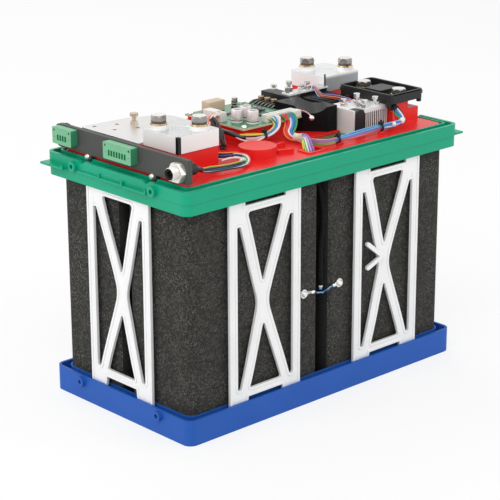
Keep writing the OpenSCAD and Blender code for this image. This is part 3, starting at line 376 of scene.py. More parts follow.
def nylon(name, colour):
    """Natural white connector plastic that light enters a little."""
    f = Finish(name)
    drift = f.noise(0.006, 3)
    tint = f.tinted(colour, 0.88, 1, drift)
    return f.surface(tint, 0.38 + drift * 0.15, f.relief(drift, 0.0001, 0.0004), Coat_Weight=0.1)


def sleeve(name, colour):
    """Thin shrunk sleeve over an aluminium can."""
    f = Finish(name)
    wrinkle = f.noise(0.0018, 3, f.stretched(1, 1, 0.2))
    tint = f.tinted(colour, 0.85, 1.08, wrinkle)
    return f.surface(tint, 0.3 + wrinkle * 0.1, f.relief(wrinkle, 0.00008), Metallic=0.45)


def tape(name, colour):
    """Cloth tape wound round a bundle: ribs across it and a soft, dull face."""
    f = Finish(name)
    rib = f.ribs(420.0, Distortion=2.5, Detail=2.0)
    fluff = f.noise(0.0012, 4)
    tint = f.tinted(colour, 0.76, 1, rib * 0.5 + fluff * 0.5)
    return f.surface(tint, 0.7, f.relief(rib + fluff, 0.00025))


# Finishes by name, with the colours that the panel offers


def finish(name):
    """Makes each finish once and hands it out by name."""
    if name in made_finishes:
        return made_finishes[name]
    look = bpy.context.scene.battery_look
    makers = {
        "tray": (moulded, tuple(look.tray), 0.45, 0.0008, 0.0007, 0.25),
        "rim": (moulded, tuple(look.rim), 0.3, 0.0022, 0.0005, 0.28),
        "deck": (moulded, tuple(look.deck), 0.3, 0.0016, 0.0009, 0.35),
        "foam": (bead_foam, tuple(look.foam)),
        "coat": (frame_coat, tuple(look.frames)),
        "panel": (moulded, (0.062, 0.063, 0.058), 0.55, 0.0007, 0.0006),
        "black": (moulded, (0.016, 0.016, 0.017), 0.36, 0.0008, 0.0008),
        "gloss_black": (moulded, (0.012, 0.012, 0.013), 0.16, 0.002, 0.0006),
        "contactor": (moulded, (0.009, 0.009, 0.01), 0.24, 0.002, 0.0012, 0.06),
        # Socket: dark green of the header slots, painted shade
        "socket": (moulded, (0.002, 0.12, 0.045), 0.6, 0.0009, 0.0003, 0.08),
        # Blocks: painted bright sides, then the metal top; the far block adds a painted shadow low on its
        # front
        "block": (block_metal, (0.99, 0.99, 0.98), (0.66, 0.68, 0.67)),
        "far_block": (block_metal, (0.93, 0.94, 0.94), (0.8, 0.82, 0.82), 0.2775),
        "plate": (milled, (0.69, 0.68, 0.67), 0.26, (14, 1, 1), 0.9),
        # Heat sink: box in which the gaps between the fins get painted shade
        "sink": (finned, (0.97, 0.97, 0.96), (0.09, -0.0572, 0.241), (0.1212, -0.022, 0.2603)),
        # Bolt heads: painted shade on the flats, bright top
        "head": (bolt_metal, (0.33, 0.31, 0.3), (0.8, 0.77, 0.74)),
        "screw": (screw_metal, (0.86, 0.85, 0.83), (0.5, 0.36, 0.2), 0.045),
        "nickel": (milled, (0.9, 0.87, 0.83), 0.3, (1, 1, 1), 0.8),
        "dark_steel": (plated, (0.16, 0.14, 0.125), 0.35),
        "can": (milled, shade((0.88, 0.88, 0.87), 0.8), 0.3, (1, 1, 14)),
        "steel": (plated, (0.78, 0.77, 0.75), 0.17),
        "brass": (plated, (0.8, 0.6, 0.36), 0.2),
        "dull_brass": (plated, (0.62, 0.52, 0.4), 0.3),
        "copper": (plated, (0.78, 0.45, 0.3), 0.3),
        "board": (circuit_board, (0.02, 0.2, 0.085)),
        "board_edge": (board_edge,),
        "sleeve": (sleeve, (0.74, 0.68, 0.67)),
        "film": (moulded, (0.62, 0.47, 0.35), 0.5, 0.0009, 0.0006),
        "white": (nylon, (0.86, 0.85, 0.8)),
        "tape": (tape, (0.85, 0.82, 0.68)),
        "braid": (braid, (0.005, 0.005, 0.005)),
        # Header: light green, and the painted shade of its flanks
        "header": (header_plastic, (0.165, 0.44, 0.25), (0.012, 0.2, 0.1)),
        "tie": (moulded, (0.012, 0.012, 0.012), 0.42, 0.0009, 0.0002),
    }
    maker, *values = makers.get(name) or (wire_coat, wires[name])
    made_finishes[name] = maker(name, *values)
    return made_finishes[name]


made_finishes = {}
wires = {
    "wire_white": (0.8, 0.79, 0.76),
    "wire_blue": (0.05, 0.2, 0.62),
    "wire_sky": (0.16, 0.42, 0.72),
    "wire_orange": (0.85, 0.24, 0.03),
    "wire_yellow": (0.78, 0.68, 0.06),
    "wire_green": (0.03, 0.36, 0.12),
    "wire_lime": (0.38, 0.6, 0.1),
    "wire_red": (0.7, 0.03, 0.04),
    "wire_pink": (0.75, 0.32, 0.38),
    "wire_purple": (0.3, 0.16, 0.5),
    "wire_lilac": (0.5, 0.42, 0.66),
    "wire_teal": (0.02, 0.32, 0.36),
    "wire_black": (0.012, 0.012, 0.013),
    "wire_navy": (0.02, 0.06, 0.22),
}


# Mesh tools


def smooth_path(route, steps):
    """Points along one smooth curve through every point of the route."""
    points = [2 * route[0] - route[1], *route, 2 * route[-1] - route[-2]]
    path = []
    for i in range(1, len(points) - 2):
        a, b, c, d = points[i - 1:i + 3]
        for k in range(steps):
            t = k / steps
            path.append(0.5 * (2 * b + (c - a) * t + (2 * a - 5 * b + 4 * c - d) * t ** 2
                + (3 * b - a - 3 * c + d) * t ** 3))
    path.append(route[-1])
    return path


def carried_frames(path):
    """A direction along and two across at each point, carried without twist."""
    frames = []
    side = Vector((0.31, 0.52, 0.8))
    for i in range(len(path)):
        along = (path[min(i + 1, len(path) - 1)] - path[max(i - 1, 0)]).normalized()
        side = (side - side.dot(along) * along).normalized()
        frames.append((along, side, along.cross(side)))
    return frames


class Shape:
    """Mesh under construction, with one finish number for each face."""

    def __init__(self):
        self.bm = bmesh.new()

    def skin(self, rings, number, closed=False):
        """Quads between rings of points, with flat ends."""
        rows = [[self.bm.verts.new(p) for p in ring] for ring in rings]
        pairs = list(zip(rows, rows[1:]))
        if closed:
            pairs.append((rows[-1], rows[0]))
        for one, other in pairs:
            for j in range(len(one)):
                k = (j + 1) % len(one)
                face = self.bm.faces.new((one[j], one[k], other[k], other[j]))
                face.material_index = number
        if not closed:
            for ring in (rows[0][::-1], rows[-1]):
                self.bm.faces.new(ring).material_index = number

    def tube(self, path, radius, number=0, sides=10):
        rings = []
        for p, (_, u, v) in zip(path, carried_frames(path)):
            turns = [2 * math.pi * j / sides for j in range(sides)]
            rings.append([p + radius * (math.cos(a) * u + math.sin(a) * v) for a in turns])
        self.skin(rings, number)

    def turned(self, profile, at, axis, number=0, sides=32, closed=False):
        """Ring of the profile's (radius, height) points about an axis."""
        axis = axis.normalized()
        u = axis.orthogonal().normalized()
        v = axis.cross(u)
        rings = []
        for radius, height in profile:
            turns = [2 * math.pi * j / sides for j in range(sides)]
            rings.append([at + axis * height + radius * (math.cos(a) * u + math.sin(a) * v)
                for a in turns])
        self.skin(rings, number, closed)

    def brick(self, low, high, number=0, edge=0.0003, segments=2, turn=0.0):
        """Box with rounded edges, turned about the vertical through its centre."""
        centre = (low + high) / 2
        size = high - low
        place = (Matrix.Translation(centre) @ Matrix.Rotation(turn, 4, "Z")
            @ Matrix.Diagonal((*size, 1)))
        verts = bmesh.ops.create_cube(self.bm, size=1, matrix=place)["verts"]
        faces = {f for v in verts for f in v.link_faces}
        for face in faces:
            face.material_index = number
        if edge:
            edges = {e for f in faces for e in f.edges}
            bmesh.ops.bevel(self.bm, geom=list(edges), offset=edge, segments=segments,
                profile=0.5, affect="EDGES", clamp_overlap=True)

    def band(self, outer, inner, heights):
        """Closed ring between two outlines, at the outer one's two heights and the inner one's two."""
        lines = zip((outer, outer, inner, inner), heights)
        self.skin([[Vector((x, y, z)) for x, y in line] for line, z in lines], 0, closed=True)

    def piece(self, name, finishes, nodes=(), crease=35.0):
        """Ends the mesh as an object that rides on the root body."""
        bmesh.ops.recalc_face_normals(self.bm, faces=self.bm.faces)
        mesh = bpy.data.meshes.new(name)
        self.bm.to_mesh(mesh)
        self.bm.free()
        for face in mesh.polygons:
            face.use_smooth = True
        mesh.set_sharp_from_angle(angle=math.radians(crease))
        for finish_name in finishes:
            mesh.materials.append(finish(finish_name))
        made = bpy.data.objects.new(name, mesh)
        bpy.context.scene.collection.objects.link(made)
        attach(made, "root")
        if nodes:
            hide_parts(*nodes)
        return made


def rounded_outline(low, high, radius, steps=5):
    """Rectangle from low to high with round corners."""
    points = []
    right, left, back, front = high[0], low[0], high[1], low[1]
    for x, y, start in ((right, back, 0), (left, back, 90), (left, front, 180), (right, front, 270)):
        cx = x - math.copysign(radius, x - (low[0] + high[0]) / 2)
        cy = y - math.copysign(radius, y - (low[1] + high[1]) / 2)
        for k in range(steps + 1):
            a = math.radians(start + 90 * k / steps)
            points.append((cx + radius * math.cos(a), cy + radius * math.sin(a)))
    return points


def disc(radius, low, high):
    """Profile of a plain round disc or pin between two heights."""
    return [(0.0, low), (radius, low), (radius, high), (0.0, high)]


def coat_nodes(name, *nodes):
    """Gives CAD nodes their finish in place."""
    for node in nodes:
        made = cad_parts[node]
        made.data.materials.clear()
        made.data.materials.append(finish(name))


def bundle(shape, path, strands, spread, twist=1.0, seed=1):
    """Single wires that wander round each other along one path."""
    chance = random.Random(seed)
    frames = carried_frames(path)
    count = len(strands)
    for i, (number, radius) in enumerate(strands):
        phase = 2 * math.pi * i / count
        wander = [chance.uniform(-0.35, 0.35) for _ in range(4)]
        wire = []
        for j, (p, (_, u, v)) in enumerate(zip(path, frames)):
            s = j / (len(path) - 1)
            angle = phase + twist * s * 2 * math.pi
            angle += sum(w * math.sin(2 * math.pi * (k + 1) * s) for k, w in enumerate(wander))
            reach = spread * (0.82 + 0.18 * math.sin(9 * s + phase * 3))
            if count > 5 and i % 3 == 0:
                reach *= 0.35
            wire.append(p + reach * (math.cos(angle) * u + math.sin(angle) * v))
        shape.tube(wire, radius, number, 8)


def fan(shape, path, strands, widths, seed=1, comb=None):
    """Single wires side by side in a band that lies flat to the open side.

    The widths are the band's, in even steps along the path. The comb is the row in which they start.
    """
    chance = random.Random(seed)
    frames = carried_frames(path)
    for i, (number, radius) in enumerate(strands):
        share = i / (len(strands) - 1) - 0.5
        lean = chance.uniform(0.3, 0.9) * (-1) ** i
        sway = chance.uniform(0, 6)
        wire = []
        for j, (p, (along, _, _)) in enumerate(zip(path, frames)):
            s = j / (len(path) - 1)
            step = s * (len(widths) - 1)
            k = min(int(step), len(widths) - 2)
            rest = step - k
            width = widths[k] * (1 - rest) + widths[k + 1] * rest
            side = along.cross(OPEN_SIDE).normalized()
            offset = share * width * side
            if comb:
                hold = max(0.0, 1 - 4 * s)
                offset = offset * (1 - hold) + share * comb * hold
            wander = radius * (lean + 0.35 * math.sin(7 * s + sway))
            wire.append(p + offset + wander * side.cross(along))
        shape.tube(wire, radius, number, 8)


# Settings that a user would change


def colour_setting(name, description, default):
    return FloatVectorProperty(name=name, description=description, subtype="COLOR", default=default,
        min=0, max=1)


class BatteryLook(bpy.types.PropertyGroup):
    """Colours and small sizes of the battery's finishes."""

    tray: colour_setting("Tray", "Colour of the base tray", (0.015, 0.098, 0.43))
    rim: colour_setting("Rim", "Colour of the top rim", (0.001, 0.345, 0.19))
    deck: colour_setting("Deck", "Colour of the deck", (0.8, 0.016, 0.014))
    foam: colour_setting("Foam", "Colour of the foam jackets", (0.049, 0.047, 0.042))
    frames: colour_setting("Frames", "Colour of the crossed frames", (0.9, 0.9, 0.9))
    wire: FloatProperty(name="Wire", description="Radius of one thin wire of a loom",
        default=0.00085, min=0.0004, max=0.0015, subtype="DISTANCE", unit="LENGTH")
    steps: IntProperty(name="Route steps", description="Mesh rings between two points of a route",
        default=7, min=2, max=16)


class BatteryStage(bpy.types.PropertyGroup):
    """Camera and light."""

    lens: FloatProperty(name="Lens", description="Focal length that gives the photo's perspective",
        default=128.66, min=20, max=300, unit="CAMERA")
    azimuth: FloatProperty(name="Azimuth", description="Turn of the view about the vertical",
        default=math.radians(-42.914), subtype="ANGLE", unit="ROTATION")
    elevation: FloatProperty(name="Elevation", description="Height angle of the view",
        default=math.radians(18.219), subtype="ANGLE", unit="ROTATION")
    roll: FloatProperty(name="Roll", description="Tilt of the picture", default=math.radians(-0.184),
        subtype="ANGLE", unit="ROTATION")
    eye: FloatVectorProperty(name="Eye", description="Place of the camera", subtype="TRANSLATION",
        default=(-1.1559, -1.2316, 0.6818), unit="LENGTH")
    sky: FloatProperty(name="Sky", description="Strength of the light from all round", default=0.62,
        min=0, max=2)
    lamps: FloatProperty(name="Lamps", description="Strength of the soft lamps", default=1.12, min=0,
        max=4)


# Case, frames, foam and cells


class CaseFinish(bpy.types.Operator):
    """Coats the tray, rim and deck"""

    bl_idname = "battery.case_finish"
    bl_label = "Tray, rim and deck"

    def execute(self, context):
        coat_nodes("tray", "base_tray")
        coat_nodes("rim", "top_rim")
        coat_nodes("deck", "deck")
        return {"FINISHED"}


class FrameFinish(bpy.types.Operator):
    """Coats the six crossed frames"""

    bl_idname = "battery.frame_finish"
    bl_label = "Crossed frames"

    def execute(self, context):
        coat_nodes("coat", *[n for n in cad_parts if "_frame_" in n])
        return {"FINISHED"}


class FoamFinish(bpy.types.Operator):
    """Gives the jackets their bead foam and the cells their metal"""

    bl_idname = "battery.foam_finish"
    bl_label = "Foam jackets and cells"

    def execute(self, context):
        coat_nodes("foam", *[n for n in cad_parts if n.startswith("foam_jacket")])
        coat_nodes("can", *[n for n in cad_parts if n.startswith("cell_")])
        coat_nodes("copper", *[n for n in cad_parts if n.startswith("cell_link")])
        return {"FINISHED"}


# Connector panel


class PanelPieces(bpy.types.Operator):
    """Coats the connector panel and its headers"""

    bl_idname = "battery.panel_pieces"
    bl_label = "Connector panel"

    def execute(self, context):
        coat_nodes("panel", "connector_panel")
        coat_nodes("header", "header_4_pole", "header_7_pole")
        shape = Shape()
        pitch = 3.81 * MM
        slot_half = 1.2 * MM
        screw = disc(1.12 * MM, 0.2 * MM, 2.0 * MM)
        for node, count in (("header_4_pole", 4), ("header_7_pole", 7)):
            low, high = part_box(node)
            middle = (low + high) / 2
            for i in range(count):
                # Dark green plate in each slot, painted shade for the slot's pocket, a hair in front of the
                # header's face
                spot = Vector((low.x, middle.y + (i - (count - 1) / 2) * pitch, middle.z))
                shape.brick(spot + Vector((-0.0001, -slot_half, -0.0042)),
                    spot + Vector((0.003, slot_half, slot_half)), 0, 0)
            for side in (-1, 1):
                y = middle.y + side * ((high.y - low.y) / 2 - 0.003)
                shape.turned(screw, Vector((low.x + 0.0002, y, high.z - 0.003)), Vector((1, 0, 0)), 1, 16)
        shape.piece("header_slot_shade_and_screws", ["socket", "black"])
        return {"FINISHED"}


class BusConnector(bpy.types.Operator):
    """Round connector with its thread, nut and contact pins"""

    bl_idname = "battery.bus_connector"
    bl_label = "Round bus connector"

    def execute(self, context):
        low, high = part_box("bus_connector_body")
        nut_low, nut_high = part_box("bus_connector_nut")
        axis = Vector((1, 0, 0))
        middle = (nut_low + nut_high) / 2
        mouth = Vector((low.x, middle.y, middle.z))
        radius = 6.0 * MM
        root = radius - 0.7 * MM
        bore = 4.7 * MM
        neck = 5.6 * MM
        pitch = 1.0 * MM
        thread_start = 0.6 * MM
        thread_end = 6.5 * MM
        floor = 8.8 * MM
        profile = [(0.0005, floor), (bore + 0.0003, floor), (bore + 0.0003, 0.0007)]
        for i in range(int((thread_end - thread_start) / pitch)):
            z = thread_start + i * pitch
            profile += [(root, z), (radius, z + pitch * 0.42), (radius, z + pitch * 0.58),
                (root, z + pitch)]
        tail = high.x - low.x
        collar = nut_high.x - low.x + 0.005
        profile += [(neck, thread_end), (neck, collar), (0.0005, collar)]
        shape = Shape()
        shape.turned(profile, mouth, axis, 0, 40)
        # Black sleeve behind the collar, then the lip and the floor inside the mouth
        wide = radius + 0.0015
        shape.turned([(0.0005, collar), (wide, collar), (wide, collar + 0.003), (neck, collar + 0.003),
            (neck, tail - 0.0006), (neck - 0.0006, tail), (0.0005, tail)], mouth, axis, 1, 40)
        shape.turned([(bore, 0.009), (bore, 0.0003), (bore + 0.0003, 0), (radius - 0.0008, 0),
            (radius - 0.0006, 0.0009), (bore + 0.0006, 0.009)], mouth, axis, 1, 40, closed=True)
        shape.turned(disc(bore + 0.0004, floor - 0.0003, floor - 0.0001), mouth, axis, 1, 40)
        shape.piece("bus_body", ["nickel", "black"], ["bus_connector_body"])
        # Nut with its corners turned off at both faces
        shape = Shape()
        width = nut_high.x - nut_low.x
        chamfer = 0.4 * MM
        across = 17.0 * MM
        corner = 0.985 * across / 2 / math.cos(math.radians(30))
        rings = []
        face = 0.965
        for x, share in ((0, 0), (0, face), (chamfer, 1), (width - chamfer, 1), (width, face), (width, 0)):
            ring = []
            for j in range(36):
                a = math.radians(10 * j)
                flat = across / 2 / math.cos((a + math.radians(30)) % math.radians(60) - math.radians(30))
                reach = min(flat, corner * share) if share else neck
                ring.append(Vector((nut_low.x + x, middle.y + reach * math.sin(a),
                    middle.z + reach * math.cos(a))))
            rings.append(ring)
        shape.skin(rings, 0, closed=True)
        shape.piece("bus_nut", ["nickel"], ["bus_connector_nut"], 25)
        coat_nodes("black", "bus_connector_insert")
        shape = Shape()
        for i in range(5):
            a = 2 * math.pi * i / 5
            spot = mouth + Vector((0.0055, 0.0026 * math.cos(a), 0.0026 * math.sin(a)))
            shape.turned([(0.0005, 0.003), (0.0005, 0), (0.0003, -0.0006), (0.0001, -0.0008)], spot,
                axis, 0, 12)
        shape.piece("bus_pins", ["brass"])
        return {"FINISHED"}


# Blocks, bolts and plates


class TerminalPieces(bpy.types.Operator):
    """Coats the terminal blocks, their bolts and the plates"""

    bl_idname = "battery.terminal_pieces"
    bl_label = "Terminal blocks and bolts"

    def execute(self, context):
        coat_nodes("block", "terminal_block_left", "relay_busbar")
        coat_nodes("far_block", "terminal_block_right")
        coat_nodes("plate", "mounting_plate")
        coat_nodes("gloss_black", "corner_strip")
        coat_nodes("head", "terminal_bolts")
        coat_nodes("steel", "relay_studs", "sink_studs")
        coat_nodes("screw", "small_screws")
        coat_nodes("dull_brass", "plate_stud")
        coat_nodes("brass", "flat_washers")
        coat_nodes("dark_steel", "spring_washers")
        # Dark joint up the far block's near corner
        low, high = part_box("terminal_block_right")
        shape = Shape()
        shape.brick(low + mm(-0.5, -0.5, 0.5), Vector((low.x, low.y, high.z)) + mm(0.9, 0.9, -1), 0, 0.0002)
        shape.piece("far_block_joint", ["panel"])
        return {"FINISHED"}


# Fuse


class FusePieces(bpy.types.Operator):
    """Coats the fuse and its holder and adds the lip round the holder"""

    bl_idname = "battery.fuse_pieces"
    bl_label = "Main fuse and its holder"

    def execute(self, context):
        coat_nodes("black", "fuse_holder", "main_fuse")
        low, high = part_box("fuse_holder")
        shape = Shape()
        wall = 1.2 * MM
        inset = Vector((2.2 * MM, 0, 0))
        top = high.z - 0.0003
        bottom = top - 0.0011
        outer = rounded_outline(low + inset, high - inset, 0.004)
        inset += Vector((wall, wall, 0))
        inner = rounded_outline(low + inset, high - inset, 0.003)
        shape.band(outer, inner, (bottom, top, top, bottom))
        shape.piece("holder_lip", ["black"])
        return {"FINISHED"}


# Control board


class ControlBoard(bpy.types.Operator):
    """Control board with its edge, chips and chip resistors"""

    bl_idname = "battery.control_board"
    bl_label = "Control board"

    def execute(self, context):
        coat_nodes("board", "control_board", "power_board")
        low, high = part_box("control_board")
        shape = Shape()
        edge = Vector((0.25 * MM, 0.25 * MM, 0))
        inset = Vector((0.6 * MM, 0.6 * MM, 0))
        outer = rounded_outline(low - edge, high + edge, 0.0006, 2)
        inner = rounded_outline(low + inset, high - inset, 0.0004, 2)
        shape.band(outer, inner, (low.z, high.z, high.z + 0.00005, low.z - 0.00005))
        shape.piece("board_rim", ["board_edge"])
        # Chips: corner, length, width and height in mm from the board's front left corner
        chips = ((26, 34, 12, 12, 1.4), (46, 36, 10, 6, 1.2), (24, 52, 8, 8, 1.2), (44, 56, 14, 10, 1.4),
            (60, 40, 6, 12, 1.6), (9, 66, 8, 5, 1.4), (48, 24, 12, 7, 1.2), (62, 20, 9, 9, 1.4))
        shape = Shape()
        board = Vector((low.x, low.y, high.z))
        pin_pitch = 1.27
        for x, y, length, width, height in chips:
            corner = board + mm(x, y, 0)
            shape.brick(corner + mm(0, 0, 0.15), corner + mm(length, width, height), 0, 0.0002)
            for i in range(int(length / pin_pitch)):
                for side in (-0.9, width):
                    pin = corner + mm(0.6 + pin_pitch * i, side, 0)
                    shape.brick(pin, pin + mm(0.45, 0.9, 0.4), 1, 0)
        shape.piece("board_chips", ["gloss_black", "steel"])
        chance = random.Random(7)
        shape = Shape()
        for _ in range(110):
            x = chance.uniform(4, 72)
            y = chance.uniform(16, 80)
            if any(cx - 2 < x < cx + l + 1 and cy - 2 < y < cy + w + 2 for cx, cy, l, w, _ in chips):
                continue
            if x < 40 and (y < 36 or 66 < y):
                continue
            corner = board + mm(x, y, 0)
            length, width = chance.choice(((1.6, 0.8), (2, 1.25), (0.8, 1.6), (1.25, 2)))
            tall = chance.uniform(0.4, 0.9)
            body = chance.choice((0, 0, 2))
            shape.brick(corner, corner + mm(length, width, tall), body, 0.00008, 1)
            # Bright caps at both ends
            along = length > width
            for start in (-0.05, max(length, width) - 0.35):
                one = (start, -0.05) if along else (-0.05, start)
                other = (start + 0.4, width + 0.05) if along else (length + 0.05, start + 0.4)
                shape.brick(corner + mm(*one, 0), corner + mm(*other, tall + 0.04), 1, 0)
        shape.piece("board_resistors", ["gloss_black", "steel", "film"])
        return {"FINISHED"}


class Capacitors(bpy.types.Operator):
    """Electrolytic capacitors with a base, a rolled groove and a scored top"""

    bl_idname = "battery.capacitors"
    bl_label = "Capacitors"

    places = ((-22, 6), (-14, -8), (-7, 10))

    def execute(self, context):
        low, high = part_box("capacitors")
        tall = high.z - low.z
        up = Vector((0, 0, 1))
        base = 6.0 * MM
        seat = 1.6 * MM
        r = 5.7 * MM
        groove = r - 0.5 * MM
        edge = r - 1.1 * MM
        shape = Shape()
        for x, y in self.places:
            at = Vector((x * MM, y * MM, low.z))
            foot = [(0.0, 0), (base, 0), (base, seat - 0.0003), (r, seat), (0.0, seat)]
            can = [(0.0, seat), (r, seat), (r, seat + 0.001), (groove, seat + 0.0014),
                (groove, seat + 0.0018), (r, seat + 0.0022), (r, tall - 0.0009),
                (r - 0.0003, tall - 0.0003), (r - 0.0009, tall), (edge, tall - 0.0004)]
            lid = [(edge, tall - 0.0006), (edge - 0.0001, tall - 0.0003), (0.0001, tall - 0.0003)]
            for number, profile in enumerate((foot, can, lid)):
                shape.turned(profile, at, up, number, 40 if number else 36)
            # Black ring at the foot, a painted shadow where the can meets its white base, then the score
            # lines on the top
            shape.turned([(r - 0.0001, seat), (r + 0.00025, seat), (r + 0.00025, seat + 0.0008),
                (r - 0.0001, seat + 0.0008)], at, up, 3, 40, closed=True)
            for turn in (0, 60, 120):
                a = math.radians(turn)
                line = Vector((math.cos(a), math.sin(a), 0)) * (r - 0.002)
                spot = at + up * (tall - 0.0003)
                shape.tube([spot - line, spot, spot + line], 0.00015, 3, 6)
        shape.piece("capacitor_cans", ["white", "sleeve", "steel", "panel"],
            ["capacitors"])
        return {"FINISHED"}


class BoardParts(bpy.types.Operator):
    """Film capacitor, white connectors and the wire header on the board"""

    bl_idname = "battery.board_parts"
    bl_label = "Connectors on the board"

    def execute(self, context):
        low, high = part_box("film_capacitor")
        shape = Shape()
        shape.brick(low, high, 0, 0.0009, 3)
        shape.piece("film_box", ["film"], ["film_capacitor"])
        coat_nodes("white", "board_connectors", "wire_header")
        # Banded sleeve round the tall post behind the capacitors
        shape = Shape()
        rings = ((1, 0, 2), (0, 2, 3.4), (1, 3.4, 4.6), (2, 4.6, 6), (1, 6, 7.2), (0, 7.2, 10.3))
        for number, bottom, top in rings:
            reach = 3.25 if number == 1 else 3.1
            ring = disc(reach * MM, bottom * MM, top * MM)
            shape.turned(ring, mm(15, 50, 260), Vector((0, 0, 1)), number, 28)
        shape.piece("post_sleeve", ["steel", "gloss_black", "dull_brass"])
        low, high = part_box("wire_header")
        chance = random.Random(5)
        shape = Shape()
        colours = ["wire_white", "wire_red", "wire_blue", "wire_green", "wire_orange", "wire_teal"]
        count = 22
        # Short wires that leave the header's front and turn down into the two looms
        for i in range(count):
            x = low.x + 0.003 + i * (high.x - low.x - 0.012) / (count - 1)
            left = x < 0.012
            end = 0.005 if left else 0.017
            start = Vector((x, low.y + 0.0035, low.z + 0.0035 + 0.001 * (i % 2)))
            drift = (end - x) * 0.55
            path = [start, start + Vector((drift * 0.1, -0.003, 0.0004)),
                start + Vector((drift * 0.6, -0.0052, -0.0014 - chance.uniform(0, 0.001))),
                start + Vector((drift, -0.0062, -0.0045))]
            number = (0 if left else 1) if i % 3 else chance.randrange(len(colours))
            shape.tube(smooth_path(path, 4), context.scene.battery_look.wire * 0.8, number, 8)
        shape.piece("header_wires", colours)
        return {"FINISHED"}


# Switching parts


class SwitchingPieces(bpy.types.Operator):
    """Coats the switching parts and adds the relay housing and the ball stud"""

    bl_idname = "battery.switching_pieces"
    bl_label = "Contactor and relay bar"

    def execute(self, context):
        coat_nodes("contactor", "contactor")
        coat_nodes("black", "relay_bar")
        coat_nodes("gloss_black", "contact_fingers")
        # Closed housing between the contactor and the far block
        shape = Shape()
        shape.brick(mm(79, -16, 243.2), mm(118.5, 27, 265.6), 0, 0.002, 3)
        shape.brick(mm(83, -10, 265), mm(104, 12, 266.4), 0, 0.0006)
        shape.brick(mm(80, 23.5, 243.2), mm(119.5, 36, 267.7), 0, 0.0008)
        shape.piece("relay_housing", ["contactor"])
        # Ball stud on the contactor's front with its thin wire from the header
        shape = Shape()
        ball = mm(39, -35, 260.4)
        r = 2.7 * MM
        arc = [math.radians(-90 + 15 * k) for k in range(13)]
        profile = [(r * max(0.001, math.cos(a)), r * math.sin(a)) for a in arc]
        shape.turned(profile, ball, Vector((0, -1, 0)), 0, 28)
        shape.turned(disc(0.0011, 0, 0.011), ball, Vector((0.6, 0.8, 0)), 0, 16)
        hang = [mm(40, -15, 263.6), mm(42.4, -19, 264.4), mm(42.6, -26, 263.2), mm(40, -33, 261.4)]
        shape.tube(smooth_path(hang, 5), 0.0006, 1, 8)
        shape.piece("ball_stud", ["steel", "wire_pink"])
        return {"FINISHED"}


class HeatSink(bpy.types.Operator):
    """Coats the heat sink and its insert"""

    bl_idname = "battery.heat_sink"
    bl_label = "Heat sink"

    def execute(self, context):
        coat_nodes("sink", "heat_sink")
        coat_nodes("black", "sink_insert")
        return {"FINISHED"}


# Wiring: routes through points in mm

SENSOR_ROUTE = ((-14.6, -93.2, 109.5), (-12.8, -93.2, 109.1), (-10.3, -93.2, 107.4), (-6.3, -92.8, 106.5),
    (-2.3, -92.8, 106), (1.7, -92.8, 106.5), (5.7, -93.2, 107.4), (8.2, -93.2, 109.1), (10, -93.2, 109.5))
LEAD_ROUTE = ((0, -80, 232), (0, -82, 216), (2, -85, 202), (3, -87, 188), (3, -87.2, 172),
    (2, -86.7, 158), (0, -87.5, 145), (-1, -88.5, 130), (-1, -89, 112))
FRONT_ROUTE = ((9.6, -48.6, 247.6), (9, -58, 247.3), (14, -70, 247.3), (21, -77.5, 248), (28, -79.3, 249),
    (43.6, -79.4, 249), (58.2, -78.8, 249.2), (73, -78.2, 249.4), (92.5, -77.6, 249.8), (102, -79, 250),
    (110.5, -80, 250.5), (117, -80.5, 251.2))
UP_ROUTE = ((117, -80.5, 251.2), (121, -79.5, 252.6), (123.9, -74.8, 255), (125.2, -68.5, 258.4),
    (126.4, -62.8, 260.6))
POCKET_ROUTE = ((10, -50, 248.4), (8, -56, 250.2), (4, -62.5, 250.2), (-0.6, -68.6, 248.4),
    (-3.2, -73, 245.4), (-3.6, -75.4, 241), (-3.6, -75.4, 235))
DROP_ONE_ROUTE = ((1, -17.5, 264.6), (2.4, -20.5, 263.9), (3, -23.5, 260.8), (0, -25.6, 256.4),
    (-8.4, -26.8, 252.8), (-19.9, -27, 251.6), (-31, -26.4, 252), (-41, -22, 253.2), (-46, -10, 255.6),
    (-46.4, 2, 256.4))
DROP_TWO_ROUTE = ((18, -18, 264.3), (20.6, -21, 262.4), (20.8, -24.5, 259.2), (16.6, -28.5, 255.3),
    (10, -33, 252.6), (6.6, -38, 250.4), (7.2, -42.4, 248.6), (9.7, -46.4, 247.4))
BUS_ROUTE = ((-155.7, -84, 257), (-149, -81.5, 254.6), (-138, -76.5, 250.4), (-126, -73.5, 248.2),
    (-112, -75, 247.6), (-98, -77, 247.6), (-86.6, -75.1, 247.6), (-78.3, -68.8, 247.8),
    (-73.8, -59.5, 248), (-76.8, -51.5, 248.2), (-85, -49.5, 248.6), (-92, -46, 249), (-97, -42, 249.6))
POWER_ROUTE = ((-54.6, 5.6, 268), (-56, -2.4, 264), (-57.6, -10.4, 258), (-58.6, -13.9, 251),
    (-58.6, -14.4, 247), (-58.6, -14.4, 243.4))
RELAY_ROUTE = ((98, 23.8, 272), (99, 20, 270.8), (95, 12, 268.6), (91, 3, 267.6), (93, -5, 267.4),
    (97, -14, 267), (99, -24, 266.9), (99, -30, 266.9))


def route_path(route, part=(0, 1)):
    """Smooth path along a route, or along one part of it."""
    path = smooth_path([mm(*p) for p in route], bpy.context.scene.battery_look.steps)
    first = int(part[0] * (len(path) - 1))
    last = int(part[1] * (len(path) - 1))
    return path[first:last + 1]


